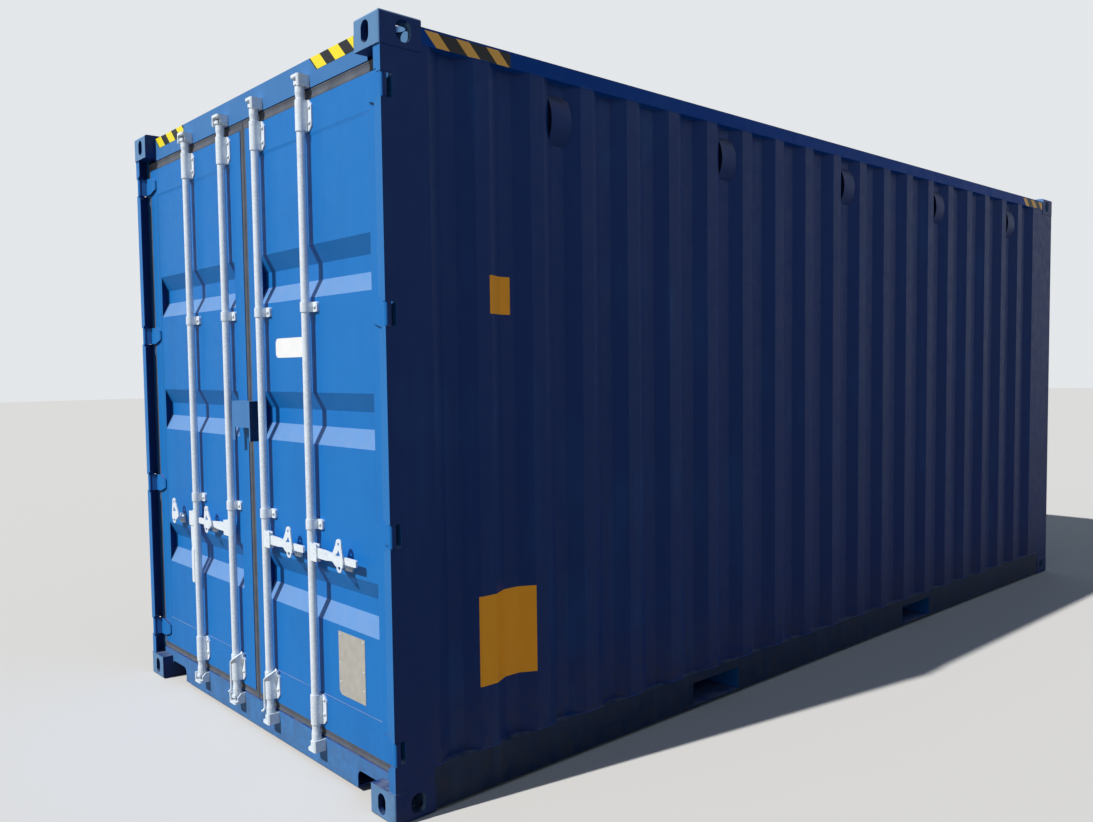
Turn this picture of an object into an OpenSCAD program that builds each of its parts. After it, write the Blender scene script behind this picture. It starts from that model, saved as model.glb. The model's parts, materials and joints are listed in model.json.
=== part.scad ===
// Twenty-foot high-cube dry shipping container with two swinging rear doors.
// Millimetres. X runs across, Y runs along, Z is up. The doors face -Y.

/* [Overall] */
// Length over the corner castings
length = 6058; // [5800:1:6400]
// Width over the corner castings
width = 2438; // [2300:1:2600]
// Height over the corner castings
height = 2896; // [2500:1:3000]

/* [Corner castings] */
// Casting size along the container
casting_l = 178; // [170:1:190]
// Casting size across the container
casting_w = 162; // [155:1:175]
// Casting height
casting_h = 118; // [110:1:125]
// Wall that holds the twistlock slot
slot_wall = 22; // [18:1:30]
// End and side wall of a casting
hole_wall = 20; // [14:1:26]
// Inner walls of a casting
inner_wall = 12; // [8:1:18]
// Twistlock slot length
slot_l = 124; // [115:1:130]
// Twistlock slot width
slot_w = 63.5; // [58:0.5:68]
// Slot centre from the end of the container
slot_in_y = 102.5; // [100:0.5:106]
// Slot centre from the side of the container
slot_in_x = 89.5; // [86:0.5:92]
// Height of the holes in the end and side walls
lash_h = 79.5; // [70:0.5:82]
// Width of the holes in the end walls
end_hole_w = 51; // [45:0.5:60]
// Width of the holes in the side walls
side_hole_w = 63.5; // [58:0.5:68]
// Rounding of the outer casting edges
casting_r = 12; // [6:1:18]

/* [Posts and rails] */
// Side faces of posts and rails lie this far inside the castings
side_inset = 3; // [1:0.5:6]
// Front lip of the rear posts lies this far inside the castings
lip_inset = 6; // [2:0.5:12]
// Width of the rear post lip
lip_w = 44; // [30:1:60]
// Plate of the rear post outer section
post_t = 6; // [4:0.5:8]
// Hot rolled inner post channel depth
channel_d = 113; // [90:1:130]
// Hot rolled inner post channel width
channel_w = 43; // [30:1:50]
// Hot rolled inner post channel thickness
channel_t = 12; // [8:0.5:14]
// Width of the front posts across the container
front_post_w = 150; // [120:1:160]
// Top side rail tube
rail_box = 60; // [50:1:80]
// Top side rail wall
rail_box_t = 3; // [2:0.5:5]
// Top side rail lies this far under the casting tops
rail_drop = 28; // [24:1:40]
// Bottom side rail height
rail_h = 162; // [140:1:180]
// Bottom side rail top flange
rail_top_w = 48; // [40:1:60]
// Bottom side rail lower flange
rail_low_w = 30; // [20:1:40]
// Bottom side rail plate
rail_t = 4.5; // [3:0.5:7]
// Underside of the base above the ground
base_gap = 12; // [8:1:18]

/* [Door end frame] */
// Header and sill faces lie this far behind the casting faces
end_recess = 54; // [45:1:70]
// Underside of the door header under the casting tops
header_low = 131; // [120:1:150]
// Depth of the door header
header_d = 124; // [90:1:140]
// Header plate
header_t = 4; // [3:0.5:6]
// Header top lies this far under the casting tops
header_drop = 18; // [8:1:30]
// Front edge of the sill above the ground
sill_z = 146; // [130:1:160]
// Rise of the sill top from front to back
sill_rise = 12; // [8:1:18]
// Sill plate
sill_t = 4.5; // [3:0.5:6]
// Underside of the sill above the ground
sill_low = 20; // [14:1:30]
// Length of the cut-outs at the sill ends
cutout_l = 186; // [150:1:220]
// Height of the cut-outs at the sill ends
cutout_h = 72; // [50:1:90]
// Rounding of the cut-outs
cutout_r = 28; // [10:1:36]

/* [Walls and roof] */
// Wall sheet
sheet_t = 2; // [1.6:0.1:3]
// Side wall corrugation depth
side_depth = 36; // [30:1:40]
// Side wall corrugation pitch
side_pitch = 278; // [260:1:300]
// Side wall crest width
side_crest = 72; // [60:1:90]
// Side wall slope width
side_slope = 68; // [55:1:75]
// Front wall corrugation depth
front_depth = 45.6; // [38:0.1:50]
// Front wall corrugation pitch
front_pitch = 250; // [230:1:270]
// Front wall crest width
front_crest = 110; // [90:1:125]
// Front wall slope width
front_slope = 18; // [14:1:25]
// Roof rib height
roof_depth = 20; // [14:1:22]
// Roof rib pitch
roof_pitch = 209; // [190:1:230]
// Roof rib width at its top
roof_crest = 91; // [80:1:100]
// Roof rib slope width
roof_slope = 13.5; // [10:0.5:20]
// Roof ribs end this far inside the side rails
roof_margin = 66; // [40:1:90]
// Number of ventilators on each side
vent_count = 5; // [1:1:5]
// Ventilator height
vent_h = 200; // [150:1:260]
// Ventilator width
vent_w = 110; // [60:1:130]
// Ventilator bulge
vent_d = 32; // [20:1:35]
// Ventilator plate
vent_t = 3; // [2:0.5:5]
// Ventilator centre under the top side rail
vent_drop = 152; // [120:1:300]

/* [Floor and base] */
// Plywood floor
floor_t = 28; // [20:1:32]
// Height of the floor cross members
member_h = 118; // [100:1:125]
// Flange width of the floor cross members
member_w = 45; // [35:1:60]
// Cross member plate
member_t = 4; // [3:0.5:5]
// Members in each stretch of floor
member_rows = 5; // [2:1:7]
// Width of the fork pockets
pocket_w = 360; // [330:1:380]
// Distance between the fork pockets
pocket_pitch = 2050; // [1900:1:2100]
// Shift of the pockets along the container
pocket_shift = -140; // [-150:1:150]
// Fork pocket plate
pocket_t = 4; // [3:0.5:6]
// Strap under each pocket end
strap_w = 200; // [150:1:250]
// Floor centre rail width
centre_w = 75; // [60:1:90]

/* [Doors] */
// Door thickness
door_t = 50; // [45:1:60]
// Width of the gap between the door posts and each leaf
hinge_gap = 30; // [20:1:40]
// Half of the gap between the leaves
centre_gap = 26; // [8:1:30]
// Gap between a leaf and the header
top_gap = 44; // [30:1:50]
// Gap between a leaf and the sill
low_gap = 38; // [20:1:45]
// Width of a leaf's upright at its hinges
upright_w = 80; // [70:1:120]
// Width of a leaf's upright at its free edge
free_w = 89; // [70:1:110]
// Height of the top door member
top_member = 131; // [110:1:160]
// Height of the bottom door member
low_member = 143; // [120:1:170]
// Plate of the door members
door_plate = 3.2; // [2.5:0.1:5]
// Door sheet
panel_t = 2; // [1.6:0.1:3]
// Set-back of the door sheet behind the door members
panel_in = 4; // [1:0.5:6]
// Depth of the pressed grooves
groove_d = 36; // [25:1:40]
// Height of a groove at the door face
groove_h = 210; // [180:1:240]
// Height of the flat at the bottom of a groove
groove_flat = 66; // [50:1:90]
// Upper groove under the casting tops
groove_1_drop = 847; // [800:1:900]
// Middle groove under the casting tops
groove_2_drop = 1439; // [1350:1:1500]
// Lower groove above the ground
groove_3 = 745; // [650:1:850]
// Thickness of the door gasket
gasket_t = 30; // [20:1:36]
// Set-back of the gasket behind the door face
gasket_in = 2; // [1:0.5:10]
// Clearance of the gasket from the frame
gasket_gap = 1; // [0.5:0.1:2]

/* [Hinges] */
// Hinge pin radius
pin_r = 10; // [8:0.5:12]
// Clearance of the pin in the blade
pin_gap = 0.4; // [0.2:0.05:0.6]
// Hinge knuckle radius
knuckle_r = 15; // [13:0.5:16]
// Hinge blade thickness
blade_t = 11; // [8:0.5:16]
// Hinge blade height
blade_h = 85; // [70:1:100]
// Reach of a blade over the door face
blade_l = 142; // [120:1:200]
// Height of a blade's end
blade_end_h = 48; // [30:1:70]
// Length of the narrowing part of a blade
blade_taper = 60; // [20:1:90]
// Rounding of a blade's end
blade_round = 12; // [5:1:20]
// Length of the notch for a blade in the post's side
notch_l = 48; // [44:1:70]
// Lug thickness
lug_t = 12; // [8:0.5:16]
// Clearance above and below a blade
blade_gap = 1; // [0.5:0.1:2]
// Lowest hinge above the ground
hinge_low = 262; // [240:1:320]
// Highest hinge under the casting tops
hinge_high = 255; // [220:1:300]

/* [Locking gear] */
// Bar outer radius
bar_r = 17; // [14:0.5:20]
// Bar wall
bar_t = 3; // [2:0.5:5]
// Inner bars from the middle
bar_in = 176; // [160:1:200]
// Outer bars from the middle
bar_out = 592; // [540:1:640]
// Clearance of a bar in its bearings
bar_gap = 0.5; // [0.2:0.05:0.8]
// Distance of the bar axis in front of the doors
bar_off = 26; // [24:0.5:28]
// Bearing plate thickness
foot_t = 6; // [4:0.5:8]
// Bearing shell radius
shell_r = 21; // [19:0.5:24]
// Long bearing height
long_h = 122; // [100:1:140]
// Lower long bearings above a leaf's bottom edge
long_low = 20; // [10:1:30]
// Long bearing foot width
long_w = 100; // [80:1:120]
// Short bearing height
short_h = 40; // [30:1:60]
// Short bearing foot width
short_w = 112; // [90:1:130]
// Upper short bearings under the casting tops
short_drop = 991; // [900:1:1100]
// Lower short bearings above the ground
short_lo = 1030; // [980:1:1150]
// Keeper height
keeper_h = 48; // [40:1:60]
// Thickness of a keeper's cap
cap_t = 12; // [6:1:16]
// Keeper half width
keeper_w = 31; // [28:1:40]
// Keeper plate
keeper_t = 6; // [4:0.5:8]
// Rounding of a keeper's cap
keeper_round = 11; // [8:0.5:14]
// Bevel of a keeper's front corner
keeper_cut = 5; // [2:0.5:7]
// Room between a bar's end and its keeper's cap
cap_gap = 15; // [6:0.5:18]
// Lip that holds the cam nose
lip_grip = 12; // [9:0.5:13]
// Reach of a cam plate from the bar axis
cam_reach = 24; // [21:0.5:24]
// Cam plate thickness
cam_h = 14; // [8:1:18]
// Radius of the collar next to a cam
collar_r = 19.5; // [18:0.5:19.5]
// Handle pivots above the ground
hub_z = 920; // [880:1:960]
// Handle pivot from the bar axis
hub_x = 40; // [36:1:46]
// Hub cheek height
hub_h = 71; // [56:1:84]
// Reach of the hub cheeks from the bar axis
hub_l = 64; // [58:1:70]
// Hub cheek thickness
hub_t = 5; // [4:0.5:6]
// Handle pivot radius
hub_pin = 6; // [4:0.5:8]
// Handle length from its pivot
handle_l = 325; // [300:1:350]
// Handle height at its pivot
handle_h = 40; // [32:1:44]
// Grip height
grip_h = 28; // [22:1:32]
// Handle thickness
handle_t = 8; // [6:0.5:9]
// Outward set of the handle grip
handle_set = 3; // [1:0.5:4]
// Clearance beside a handle
handle_gap = 0.3; // [0.2:0.05:0.5]
// Handle retainer from its bar
retainer_x = 242; // [220:1:260]
// Retainer plate
retainer_t = 5; // [4:0.5:6]
// Height of the seal eye over the handle
eye_z = 62; // [52:1:70]
// Radius of the seal eye plate
eye_r = 20; // [15:0.5:24]
// Radius of the seal eye
eye_hole = 7; // [5:0.5:9]
// Height of a retainer's base plate
base_h = 46; // [36:1:120]
// Radius of the loop under the handle
loop_r = 20; // [15:0.5:24]

/* [Lock box] */
// Left edge of the lock box from the middle
box_left = 81; // [50:1:120]
// Right edge of the lock box from the middle
box_right = 102; // [60:1:125]
// Top of the lock box above the ground
box_z = 1519; // [1450:1:1600]
// Height of the lock box sides
box_h = 178; // [120:1:200]
// Height of the lock box front
box_front = 118; // [80:1:150]
// Depth of the lock box
box_d = 51; // [40:1:53]
// Lock box plate
box_t = 5; // [3:0.5:6]

/* [Data plate] */
// Right edge of the plate from the leaf's outer edge
plate_in = 200; // [160:1:260]
// Plate width
plate_w = 199; // [150:1:220]
// Lower edge of the plate above the ground
plate_z = 361; // [340:1:400]
// Plate height
plate_h = 255; // [200:1:270]
// Plate thickness
plate_t = 1.5; // [1:0.1:3]
// Cut corner of the plate
plate_cut = 16; // [10:1:60]

/* [Hidden] */
$fn = 48;

paint = [0.10, 0.30, 0.60];
zinc = [0.72, 0.74, 0.75];
black = [0.16, 0.16, 0.17];
ply = [0.56, 0.42, 0.27];

hw = width / 2;
hl = length / 2;
side_x = hw - side_inset;
cast_x = hw - casting_w;
cast_y = hl - casting_l;
face_y = -hl + end_recess;
lip_y = -hl + lip_inset;
post_in = side_x - post_t - channel_w + 3;
rail_top_z = height - rail_drop;
rail_under_z = rail_top_z - rail_box;
header_top = height - header_drop;
header_z = height - header_low;
rail_z = base_gap + rail_h;
member_z0 = base_gap + rail_t;
floor_z0 = member_z0 + member_h;
floor_z = floor_z0 + floor_t;
roof_z = rail_top_z;
groove_1 = height - groove_1_drop;
groove_2 = height - groove_2_drop;
front_y = hl - lip_inset;

leaf_hinge = post_in - hinge_gap;
leaf_z0 = sill_z + low_gap;
leaf_z1 = header_z - top_gap;
leaf_back = face_y + door_t;

pin_x = side_x + 2 - knuckle_r;
pin_y = lip_y + 1 + knuckle_r;
hinge_pitch = (height - hinge_high - hinge_low) / 3;
hinge_zs = [for (i = [0:3]) hinge_low + i * hinge_pitch];
notch_h = blade_h / 2 + blade_gap + lug_t;

bar_y = face_y - bar_off;
short_hi = height - short_drop;
keeper_low = sill_z - 4 - keeper_h;
keeper_high = header_z + 3;
bar_z0 = keeper_low + cap_t + cap_gap;
bar_z1 = keeper_high + keeper_h - cap_t - cap_gap;
handle_y = bar_y - 5;
grip_low = grip_h / 2 + 1;
catch_y = handle_y - handle_t / 2 - handle_set - 3;

side_recess = side_pitch - side_crest - 2 * side_slope;
wave_y0 = -hl + 171;
waves = floor((cast_y - wave_y0) / side_pitch);
// Recess that holds the first ventilator, and recesses from each one to the next
vent_first = 2;
vent_step = floor((waves - 1 - vent_first) / max(1, vent_count - 1));

// One line of points along a pressed sheet, from side to side of each wave
function wave_points(start, count, pitch, crest, slope, depth) = [
  for (i = [0:count - 1]) for (p = [
    [start + i * pitch + crest / 2, 0],
    [start + i * pitch + crest / 2 + slope, depth],
    [start + (i + 1) * pitch - crest / 2 - slope, depth],
    [start + (i + 1) * pitch - crest / 2, 0]
  ]) p
];
function reversed(v) = [for (i = [len(v) - 1:-1:0]) v[i]];
function moved(v, a, b) = [for (p = v) [p[0] + a, p[1] + b]];

module sheet(line, t) {
  polygon(concat(line, reversed(moved(line, 0, t))));
}

module both() {
  children();
  mirror([1, 0, 0]) children();
}

module round_rect(a, b, r) {
  translate([r, 0]) square([a - 2 * r, b]);
  translate([0, r]) square([a, b - 2 * r]);
  for (x = [r, a - r]) for (y = [r, b - r]) translate([x, y]) circle(r);
}

// A square with one rounded corner at its far corner
module one_round(a, b, r) {
  difference() {
    square([a, b]);
    difference() {
      translate([a - r, b - r]) square([r + 1, r + 1]);
      translate([a - r, b - r]) circle(r);
    }
  }
}

// A slot centred on the origin, its long side along X
module slot2d(l, w) {
  square([l - w, w], center = true);
  for (s = [-1, 1]) translate([s * (l - w) / 2, 0]) circle(d = w);
}

// Corner casting with its outer corner at the top, placed at +X +Y
module casting_top_corner() {
  ap_x = hw - slot_in_x;
  ap_y = hl - slot_in_y;
  difference() {
    intersection() {
      translate([cast_x, cast_y, height - casting_h])
        linear_extrude(casting_h) one_round(casting_w, casting_l, casting_r);
      translate([cast_x, hl, height - casting_h]) rotate([90, 0, 0])
        linear_extrude(casting_l) one_round(casting_w, casting_h, casting_r);
      translate([cast_x, cast_y, height - casting_h]) rotate([90, 0, 90])
        linear_extrude(casting_w) one_round(casting_l, casting_h, casting_r);
    }
    translate([cast_x + inner_wall, cast_y + inner_wall, height - casting_h + inner_wall])
      cube([casting_w - inner_wall - hole_wall, casting_l - inner_wall - hole_wall,
        casting_h - inner_wall - slot_wall]);
    translate([ap_x, ap_y, height - slot_wall - 1]) rotate([0, 0, 90])
      linear_extrude(slot_wall + 2) slot2d(slot_l, slot_w);
    translate([ap_x, hl + 1, height - casting_h / 2]) rotate([90, 90, 0])
      linear_extrude(hole_wall + 2) slot2d(lash_h, end_hole_w);
    translate([hw - hole_wall - 1, ap_y, height - casting_h / 2]) rotate([0, 90, 0])
      linear_extrude(hole_wall + 2) slot2d(lash_h, side_hole_w);
  }
}

module castings_top() {
  color(paint) both() {
    casting_top_corner();
    mirror([0, 1, 0]) casting_top_corner();
  }
}

module castings_bottom() {
  color(paint) both() translate([0, 0, height]) mirror([0, 0, 1]) {
    casting_top_corner();
    mirror([0, 1, 0]) casting_top_corner();
  }
}

module rear_post_right() {
  z0 = casting_h;
  h = height - 2 * casting_h;
  back = -cast_y;
  lip_x = side_x - lip_w;
  color(paint) difference() {
    union() {
      translate([0, 0, z0]) linear_extrude(h) polygon([
        [lip_x, lip_y], [side_x, lip_y], [side_x, back], [post_in, back],
        [post_in, back - post_t], [side_x - post_t, back - post_t],
        [side_x - post_t, lip_y + post_t], [lip_x, lip_y + post_t]
      ]);
      translate([0, 0, z0]) linear_extrude(h) polygon([
        [post_in, back - post_t], [post_in, back - post_t - channel_d],
        [side_x - post_t, back - post_t - channel_d], [side_x - post_t, back - post_t - channel_d + channel_t],
        [post_in + channel_t, back - post_t - channel_d + channel_t],
        [post_in + channel_t, back - post_t - channel_t],
        [side_x - post_t, back - post_t - channel_t], [side_x - post_t, back - post_t]
      ]);
      for (z = hinge_zs) for (s = [-1, 1])
        translate([0, 0, z + s * (notch_h - lug_t / 2) - lug_t / 2]) linear_extrude(lug_t) polygon([
          [pin_x - knuckle_r, lip_y], [side_x - post_t, lip_y], [side_x, lip_y + post_t],
          [side_x, pin_y + knuckle_r + 8], [pin_x - knuckle_r, pin_y + knuckle_r - 3]
        ]);
    }
    for (z = hinge_zs) {
      translate([lip_x - 1, lip_y - 1, z - notch_h + lug_t])
        cube([lip_w + 2, post_t + 1, 2 * notch_h - 2 * lug_t]);
      translate([lip_x - 1, lip_y - 1, z - notch_h])
        cube([pin_x - knuckle_r - lip_x + 1, post_t + 1, 2 * notch_h]);
      translate([side_x - post_t, lip_y - 1, z - notch_h + lug_t])
        cube([post_t + 1, notch_l, 2 * notch_h - 2 * lug_t]);
      translate([pin_x, pin_y, z - notch_h]) cylinder(h = 2 * notch_h, r = pin_r);
    }
  }
}

module rear_post_left() {
  mirror([1, 0, 0]) rear_post_right();
}

module front_posts() {
  x0 = side_x - front_post_w;
  color(paint) both() translate([0, 0, casting_h]) linear_extrude(height - 2 * casting_h) polygon([
    [x0, front_y], [side_x, front_y], [side_x, cast_y], [side_x - rail_top_w, cast_y],
    [side_x - rail_top_w, cast_y + post_t], [side_x - post_t, cast_y + post_t],
    [side_x - post_t, front_y - post_t], [x0, front_y - post_t]
  ]);
}

module door_header() {
  h = header_top - header_z;
  color(paint) {
    translate([-cast_x, face_y + header_d, header_z]) rotate([90, 0, 90])
      mirror([1, 0, 0]) linear_extrude(2 * cast_x) difference() {
        square([header_d, h]);
        translate([header_t, header_t]) square([header_d - 2 * header_t, h - 2 * header_t]);
      }
    both() translate([cast_x, leaf_back - 6, header_z])
      cube([post_in - cast_x, header_d - door_t + 6, height - casting_h - header_z]);
  }
}

module door_sill() {
  x1 = cast_x;
  z1 = sill_z;
  y1 = face_y + header_d;
  color(paint) difference() {
    translate([-x1, 0, 0]) rotate([90, 0, 90]) linear_extrude(2 * x1) polygon([
      [face_y, sill_low], [face_y, z1], [y1, z1 + sill_rise], [y1, z1 + sill_rise - sill_t],
      [face_y + sill_t, z1 - sill_t], [face_y + sill_t, sill_low + sill_t],
      [y1 - 30, sill_low + sill_t], [y1 - 30, sill_low]
    ]);
    both() translate([x1 - cutout_l, face_y + sill_t + 1, sill_low - cutout_r]) rotate([90, 0, 0])
      linear_extrude(sill_t + 2) round_rect(cutout_l, cutout_h + cutout_r, cutout_r);
    both() translate([x1 - cutout_l, face_y - 1, sill_low - 1])
      cube([cutout_l + 1, header_d, sill_t + 2]);
  }
  color(paint) both() translate([x1, 0, 0]) rotate([90, 0, 90]) linear_extrude(post_in - x1) polygon([
    [face_y, casting_h], [face_y, z1], [y1, z1 + sill_rise], [y1, casting_h]
  ]);
}

module front_top_rail() {
  x1 = cast_x;
  color(paint) {
    translate([-x1, 0, 0]) rotate([90, 0, 90]) linear_extrude(2 * x1) difference() {
      translate([front_y - post_t - rail_box, rail_under_z - 30]) square([rail_box, rail_box]);
      translate([front_y - post_t - rail_box + rail_box_t, rail_under_z - 30 + rail_box_t])
        square([rail_box - 2 * rail_box_t, rail_box - 2 * rail_box_t]);
    }
    translate([-cast_x, cast_y, rail_top_z - 4]) cube([2 * cast_x, front_y - cast_y, 4]);
    translate([-cast_x, front_y - rail_box_t, rail_under_z + 30])
      cube([2 * cast_x, rail_box_t, rail_box - 34]);
  }
}

module front_bottom_rail() {
  h = floor_z - member_z0 + 12;
  color(paint) translate([-cast_x, 0, 0]) rotate([90, 0, 90]) linear_extrude(2 * cast_x) polygon([
    [front_y, member_z0], [front_y, member_z0 + h], [front_y - rail_box - post_t, member_z0 + h],
    [front_y - rail_box - post_t, member_z0 + h - header_t], [front_y - header_t, member_z0 + h - header_t],
    [front_y - header_t, member_z0 + header_t], [cast_y + 40, member_z0 + header_t], [cast_y + 40, member_z0]
  ]);
}

module top_side_rails() {
  color(paint) both() translate([side_x - rail_box, cast_y, rail_under_z]) rotate([90, 0, 0])
    linear_extrude(2 * cast_y) difference() {
      square([rail_box, rail_box]);
      translate([rail_box_t, rail_box_t]) square([rail_box - 2 * rail_box_t, rail_box - 2 * rail_box_t]);
    }
}

pocket_ys = [pocket_shift - pocket_pitch / 2, pocket_shift + pocket_pitch / 2];

module bottom_rail_right() {
  color(paint) difference() {
    translate([side_x, cast_y, base_gap]) rotate([90, 0, 0]) mirror([1, 0, 0])
      linear_extrude(2 * cast_y) polygon([
        [0, 0], [rail_low_w, 0], [rail_low_w, rail_t], [rail_t, rail_t],
        [rail_t, rail_h - rail_t], [rail_top_w, rail_h - rail_t], [rail_top_w, rail_h], [0, rail_h]
      ]);
    for (y = pocket_ys) translate([side_x - rail_t - 1, y - pocket_w / 2, member_z0 + pocket_t])
      cube([rail_t + 2, pocket_w, member_h - 2 * pocket_t]);
  }
}

module bottom_rail_left() {
  mirror([1, 0, 0]) bottom_rail_right();
}

module side_wall_right() {
  line = concat([[-cast_y, 0]],
    wave_points(wave_y0, waves, side_pitch, side_crest, side_slope, side_depth),
    [[cast_y, 0]]);
  color(paint) translate([side_x, 0, rail_z]) rotate([0, 0, 90])
    linear_extrude(rail_under_z - rail_z) sheet(line, sheet_t);
}

module side_wall_left() {
  mirror([1, 0, 0]) side_wall_right();
}

module front_wall() {
  n = floor((2 * (side_x - front_post_w)) / front_pitch);
  x0 = side_x - front_post_w;
  line = concat([[-x0, 0]],
    wave_points(-n * front_pitch / 2, n, front_pitch, front_crest, front_slope, front_depth),
    [[x0, 0]]);
  z0 = floor_z + 12;
  color(paint) translate([0, front_y - post_t, z0]) mirror([0, 1, 0])
    linear_extrude(rail_under_z - 30 - z0) sheet(line, sheet_t);
}

module roof_ribs(drop) {
  n = floor(2 * (cast_y - 20) / roof_pitch);
  xr = side_x - roof_margin;
  intersection() {
    translate([-side_x, 0, roof_z - drop]) rotate([90, 0, 90]) linear_extrude(2 * side_x) union() {
      for (i = [0:n - 1]) let (c = (i - (n - 1) / 2) * roof_pitch) polygon([
        [c - roof_crest / 2 - roof_slope, 0], [c + roof_crest / 2 + roof_slope, 0],
        [c + roof_crest / 2, roof_depth + sheet_t], [c - roof_crest / 2, roof_depth + sheet_t]
      ]);
    }
    translate([0, cast_y, roof_z - drop]) rotate([90, 0, 0]) linear_extrude(2 * cast_y) polygon([
      [-xr, 0], [xr, 0], [xr - 3 * roof_slope, roof_depth + sheet_t], [-xr + 3 * roof_slope, roof_depth + sheet_t]
    ]);
  }
}

module roof() {
  color(paint) difference() {
    union() {
      translate([-side_x, -cast_y, roof_z]) cube([2 * side_x, 2 * cast_y, sheet_t]);
      roof_ribs(0);
    }
    difference() {
      roof_ribs(sheet_t);
      translate([-side_x, -cast_y, roof_z - 10]) cube([2 * side_x, 2 * cast_y, 10]);
    }
  }
}

module floor_boards() {
  x1 = side_x - rail_top_w;
  y0 = face_y + header_d;
  y1 = front_y - rail_box - post_t;
  color(ply) for (s = [0, 1]) mirror([s, 0, 0])
    translate([centre_w / 2, y0, floor_z0]) cube([x1 - centre_w / 2, y1 - y0, floor_t]);
}

module floor_centre_rail() {
  y0 = face_y + header_d;
  y1 = front_y - rail_box - post_t;
  color(paint) translate([0, y1, floor_z0]) rotate([90, 0, 0]) linear_extrude(y1 - y0) polygon([
    [-centre_w / 2, 0], [-centre_w / 2 + member_t, 0], [-centre_w / 2 + member_t, floor_t - member_t],
    [centre_w / 2 - member_t, floor_t - member_t], [centre_w / 2 - member_t, 0], [centre_w / 2, 0],
    [centre_w / 2, floor_t], [-centre_w / 2, floor_t]
  ]);
}

module cross_member() {
  x1 = side_x - rail_t;
  translate([-x1, 0, member_z0]) rotate([90, 0, 90]) linear_extrude(2 * x1) polygon([
    [0, 0], [member_w, 0], [member_w, member_t], [member_t, member_t],
    [member_t, member_h - member_t], [member_w, member_h - member_t], [member_w, member_h], [0, member_h]
  ]);
}

module member_run(a, b) {
  step = (b - a) / (member_rows + 1);
  for (i = [1:member_rows]) translate([0, a + i * step - member_w / 2, 0]) cross_member();
}

module cross_members() {
  color(paint) {
    member_run(-cast_y, pocket_ys[0] - pocket_w / 2);
    member_run(pocket_ys[0] + pocket_w / 2, pocket_ys[1] - pocket_w / 2);
    member_run(pocket_ys[1] + pocket_w / 2, cast_y);
  }
}

module fork_pocket(y) {
  x1 = side_x - rail_t;
  color(paint) {
    difference() {
      translate([-x1, y - pocket_w / 2 - pocket_t, member_z0])
        cube([2 * x1, pocket_w + 2 * pocket_t, member_h]);
      translate([-x1 - 1, y - pocket_w / 2, member_z0 - 1])
        cube([2 * x1 + 2, pocket_w, member_h - pocket_t + 1]);
    }
    both() translate([x1 - strap_w, y - pocket_w / 2, member_z0]) cube([strap_w, pocket_w, pocket_t]);
  }
}

module fork_pocket_rear() {
  fork_pocket(pocket_ys[0]);
}

module fork_pocket_front() {
  fork_pocket(pocket_ys[1]);
}

// Header keeper for a bar on +X: back plate, two cheeks, a lip in front of the cam, and a cap
module keeper() {
  depth = end_recess - 2;
  cheek = depth - 15;
  translate([-keeper_w, -keeper_t, 0]) cube([2 * keeper_w, keeper_t, keeper_h]);
  linear_extrude(keeper_h) polygon([
    [keeper_w, 0], [keeper_w - keeper_t, 0], [keeper_w - keeper_t, keeper_t - depth],
    [keeper_w - lip_grip, keeper_t - depth], [keeper_w - lip_grip, -depth],
    [keeper_w - keeper_cut, -depth], [keeper_w, keeper_cut - depth]
  ]);
  translate([-keeper_w, 0, 0]) rotate([90, 0, 90]) linear_extrude(keeper_t)
    polygon([[0, 0], [-cheek / 2, 0], [-cheek, 18], [-cheek, keeper_h], [0, keeper_h]]);
  translate([-keeper_w, -depth, keeper_h - cap_t]) linear_extrude(cap_t) round_rect(2 * keeper_w, depth, keeper_round);
}

module header_keepers() {
  color(zinc) both() for (x = [bar_in, bar_out]) translate([x, face_y, keeper_high]) keeper();
}

module sill_keepers() {
  color(zinc) both() for (x = [bar_in, bar_out])
    translate([x, face_y, keeper_low + keeper_h]) mirror([0, 0, 1]) keeper();
}

module hinge_pins() {
  h = 2 * notch_h;
  color(zinc) both() for (z = hinge_zs)
    translate([pin_x, pin_y, z - h / 2]) cylinder(h = h, r = pin_r);
}

// A ventilator seen from above: it fills the recess, rests on both slopes, and can be drawn in
module vent_plan(inset, back) {
  foot = side_recess / 2 - inset;
  half = vent_w / 2 - inset;
  rise = (half - foot) * side_depth / side_slope;
  polygon([[-back, -foot], [0, -foot], [rise, -half], [vent_d, -half],
    [vent_d, half], [rise, half], [0, foot], [-back, foot]]);
}

module side_vents() {
  sag = vent_d;
  r = (vent_h * vent_h / 4 + sag * sag) / (2 * sag);
  x0 = side_x - side_depth;
  color(paint) both() for (i = [0:vent_count - 1])
    translate([x0, wave_y0 + side_pitch * (vent_first + vent_step * i + 0.5), rail_under_z - vent_drop])
    difference() {
      intersection() {
        translate([0, 0, -vent_h / 2]) linear_extrude(vent_h) vent_plan(0, 0);
        translate([vent_d - r, vent_w / 2, 0]) rotate([90, 0, 0]) cylinder(h = vent_w, r = r, $fn = 96);
      }
      intersection() {
        translate([0, 0, -vent_h / 2]) linear_extrude(vent_h) vent_plan(vent_t, 1);
        translate([vent_d - r, vent_w / 2 - vent_t, 0]) rotate([90, 0, 0])
          cylinder(h = vent_w - 2 * vent_t, r = r - vent_t, $fn = 96);
      }
    }
}

// Right leaf, from its free edge near the middle to its hinge edge
module upright(x, w) {
  translate([x, face_y, leaf_z0]) linear_extrude(leaf_z1 - leaf_z0) difference() {
    square([w, door_t]);
    translate([door_plate, door_plate]) square([w - 2 * door_plate, door_t - 2 * door_plate]);
  }
}

module cross_beam(z, h) {
  x0 = centre_gap + free_w;
  w = leaf_hinge - upright_w - x0;
  translate([x0, face_y, z]) difference() {
    cube([w, door_t, h]);
    translate([-1, door_plate, door_plate]) cube([w + 2, door_t, h - 2 * door_plate]);
  }
}

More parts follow.
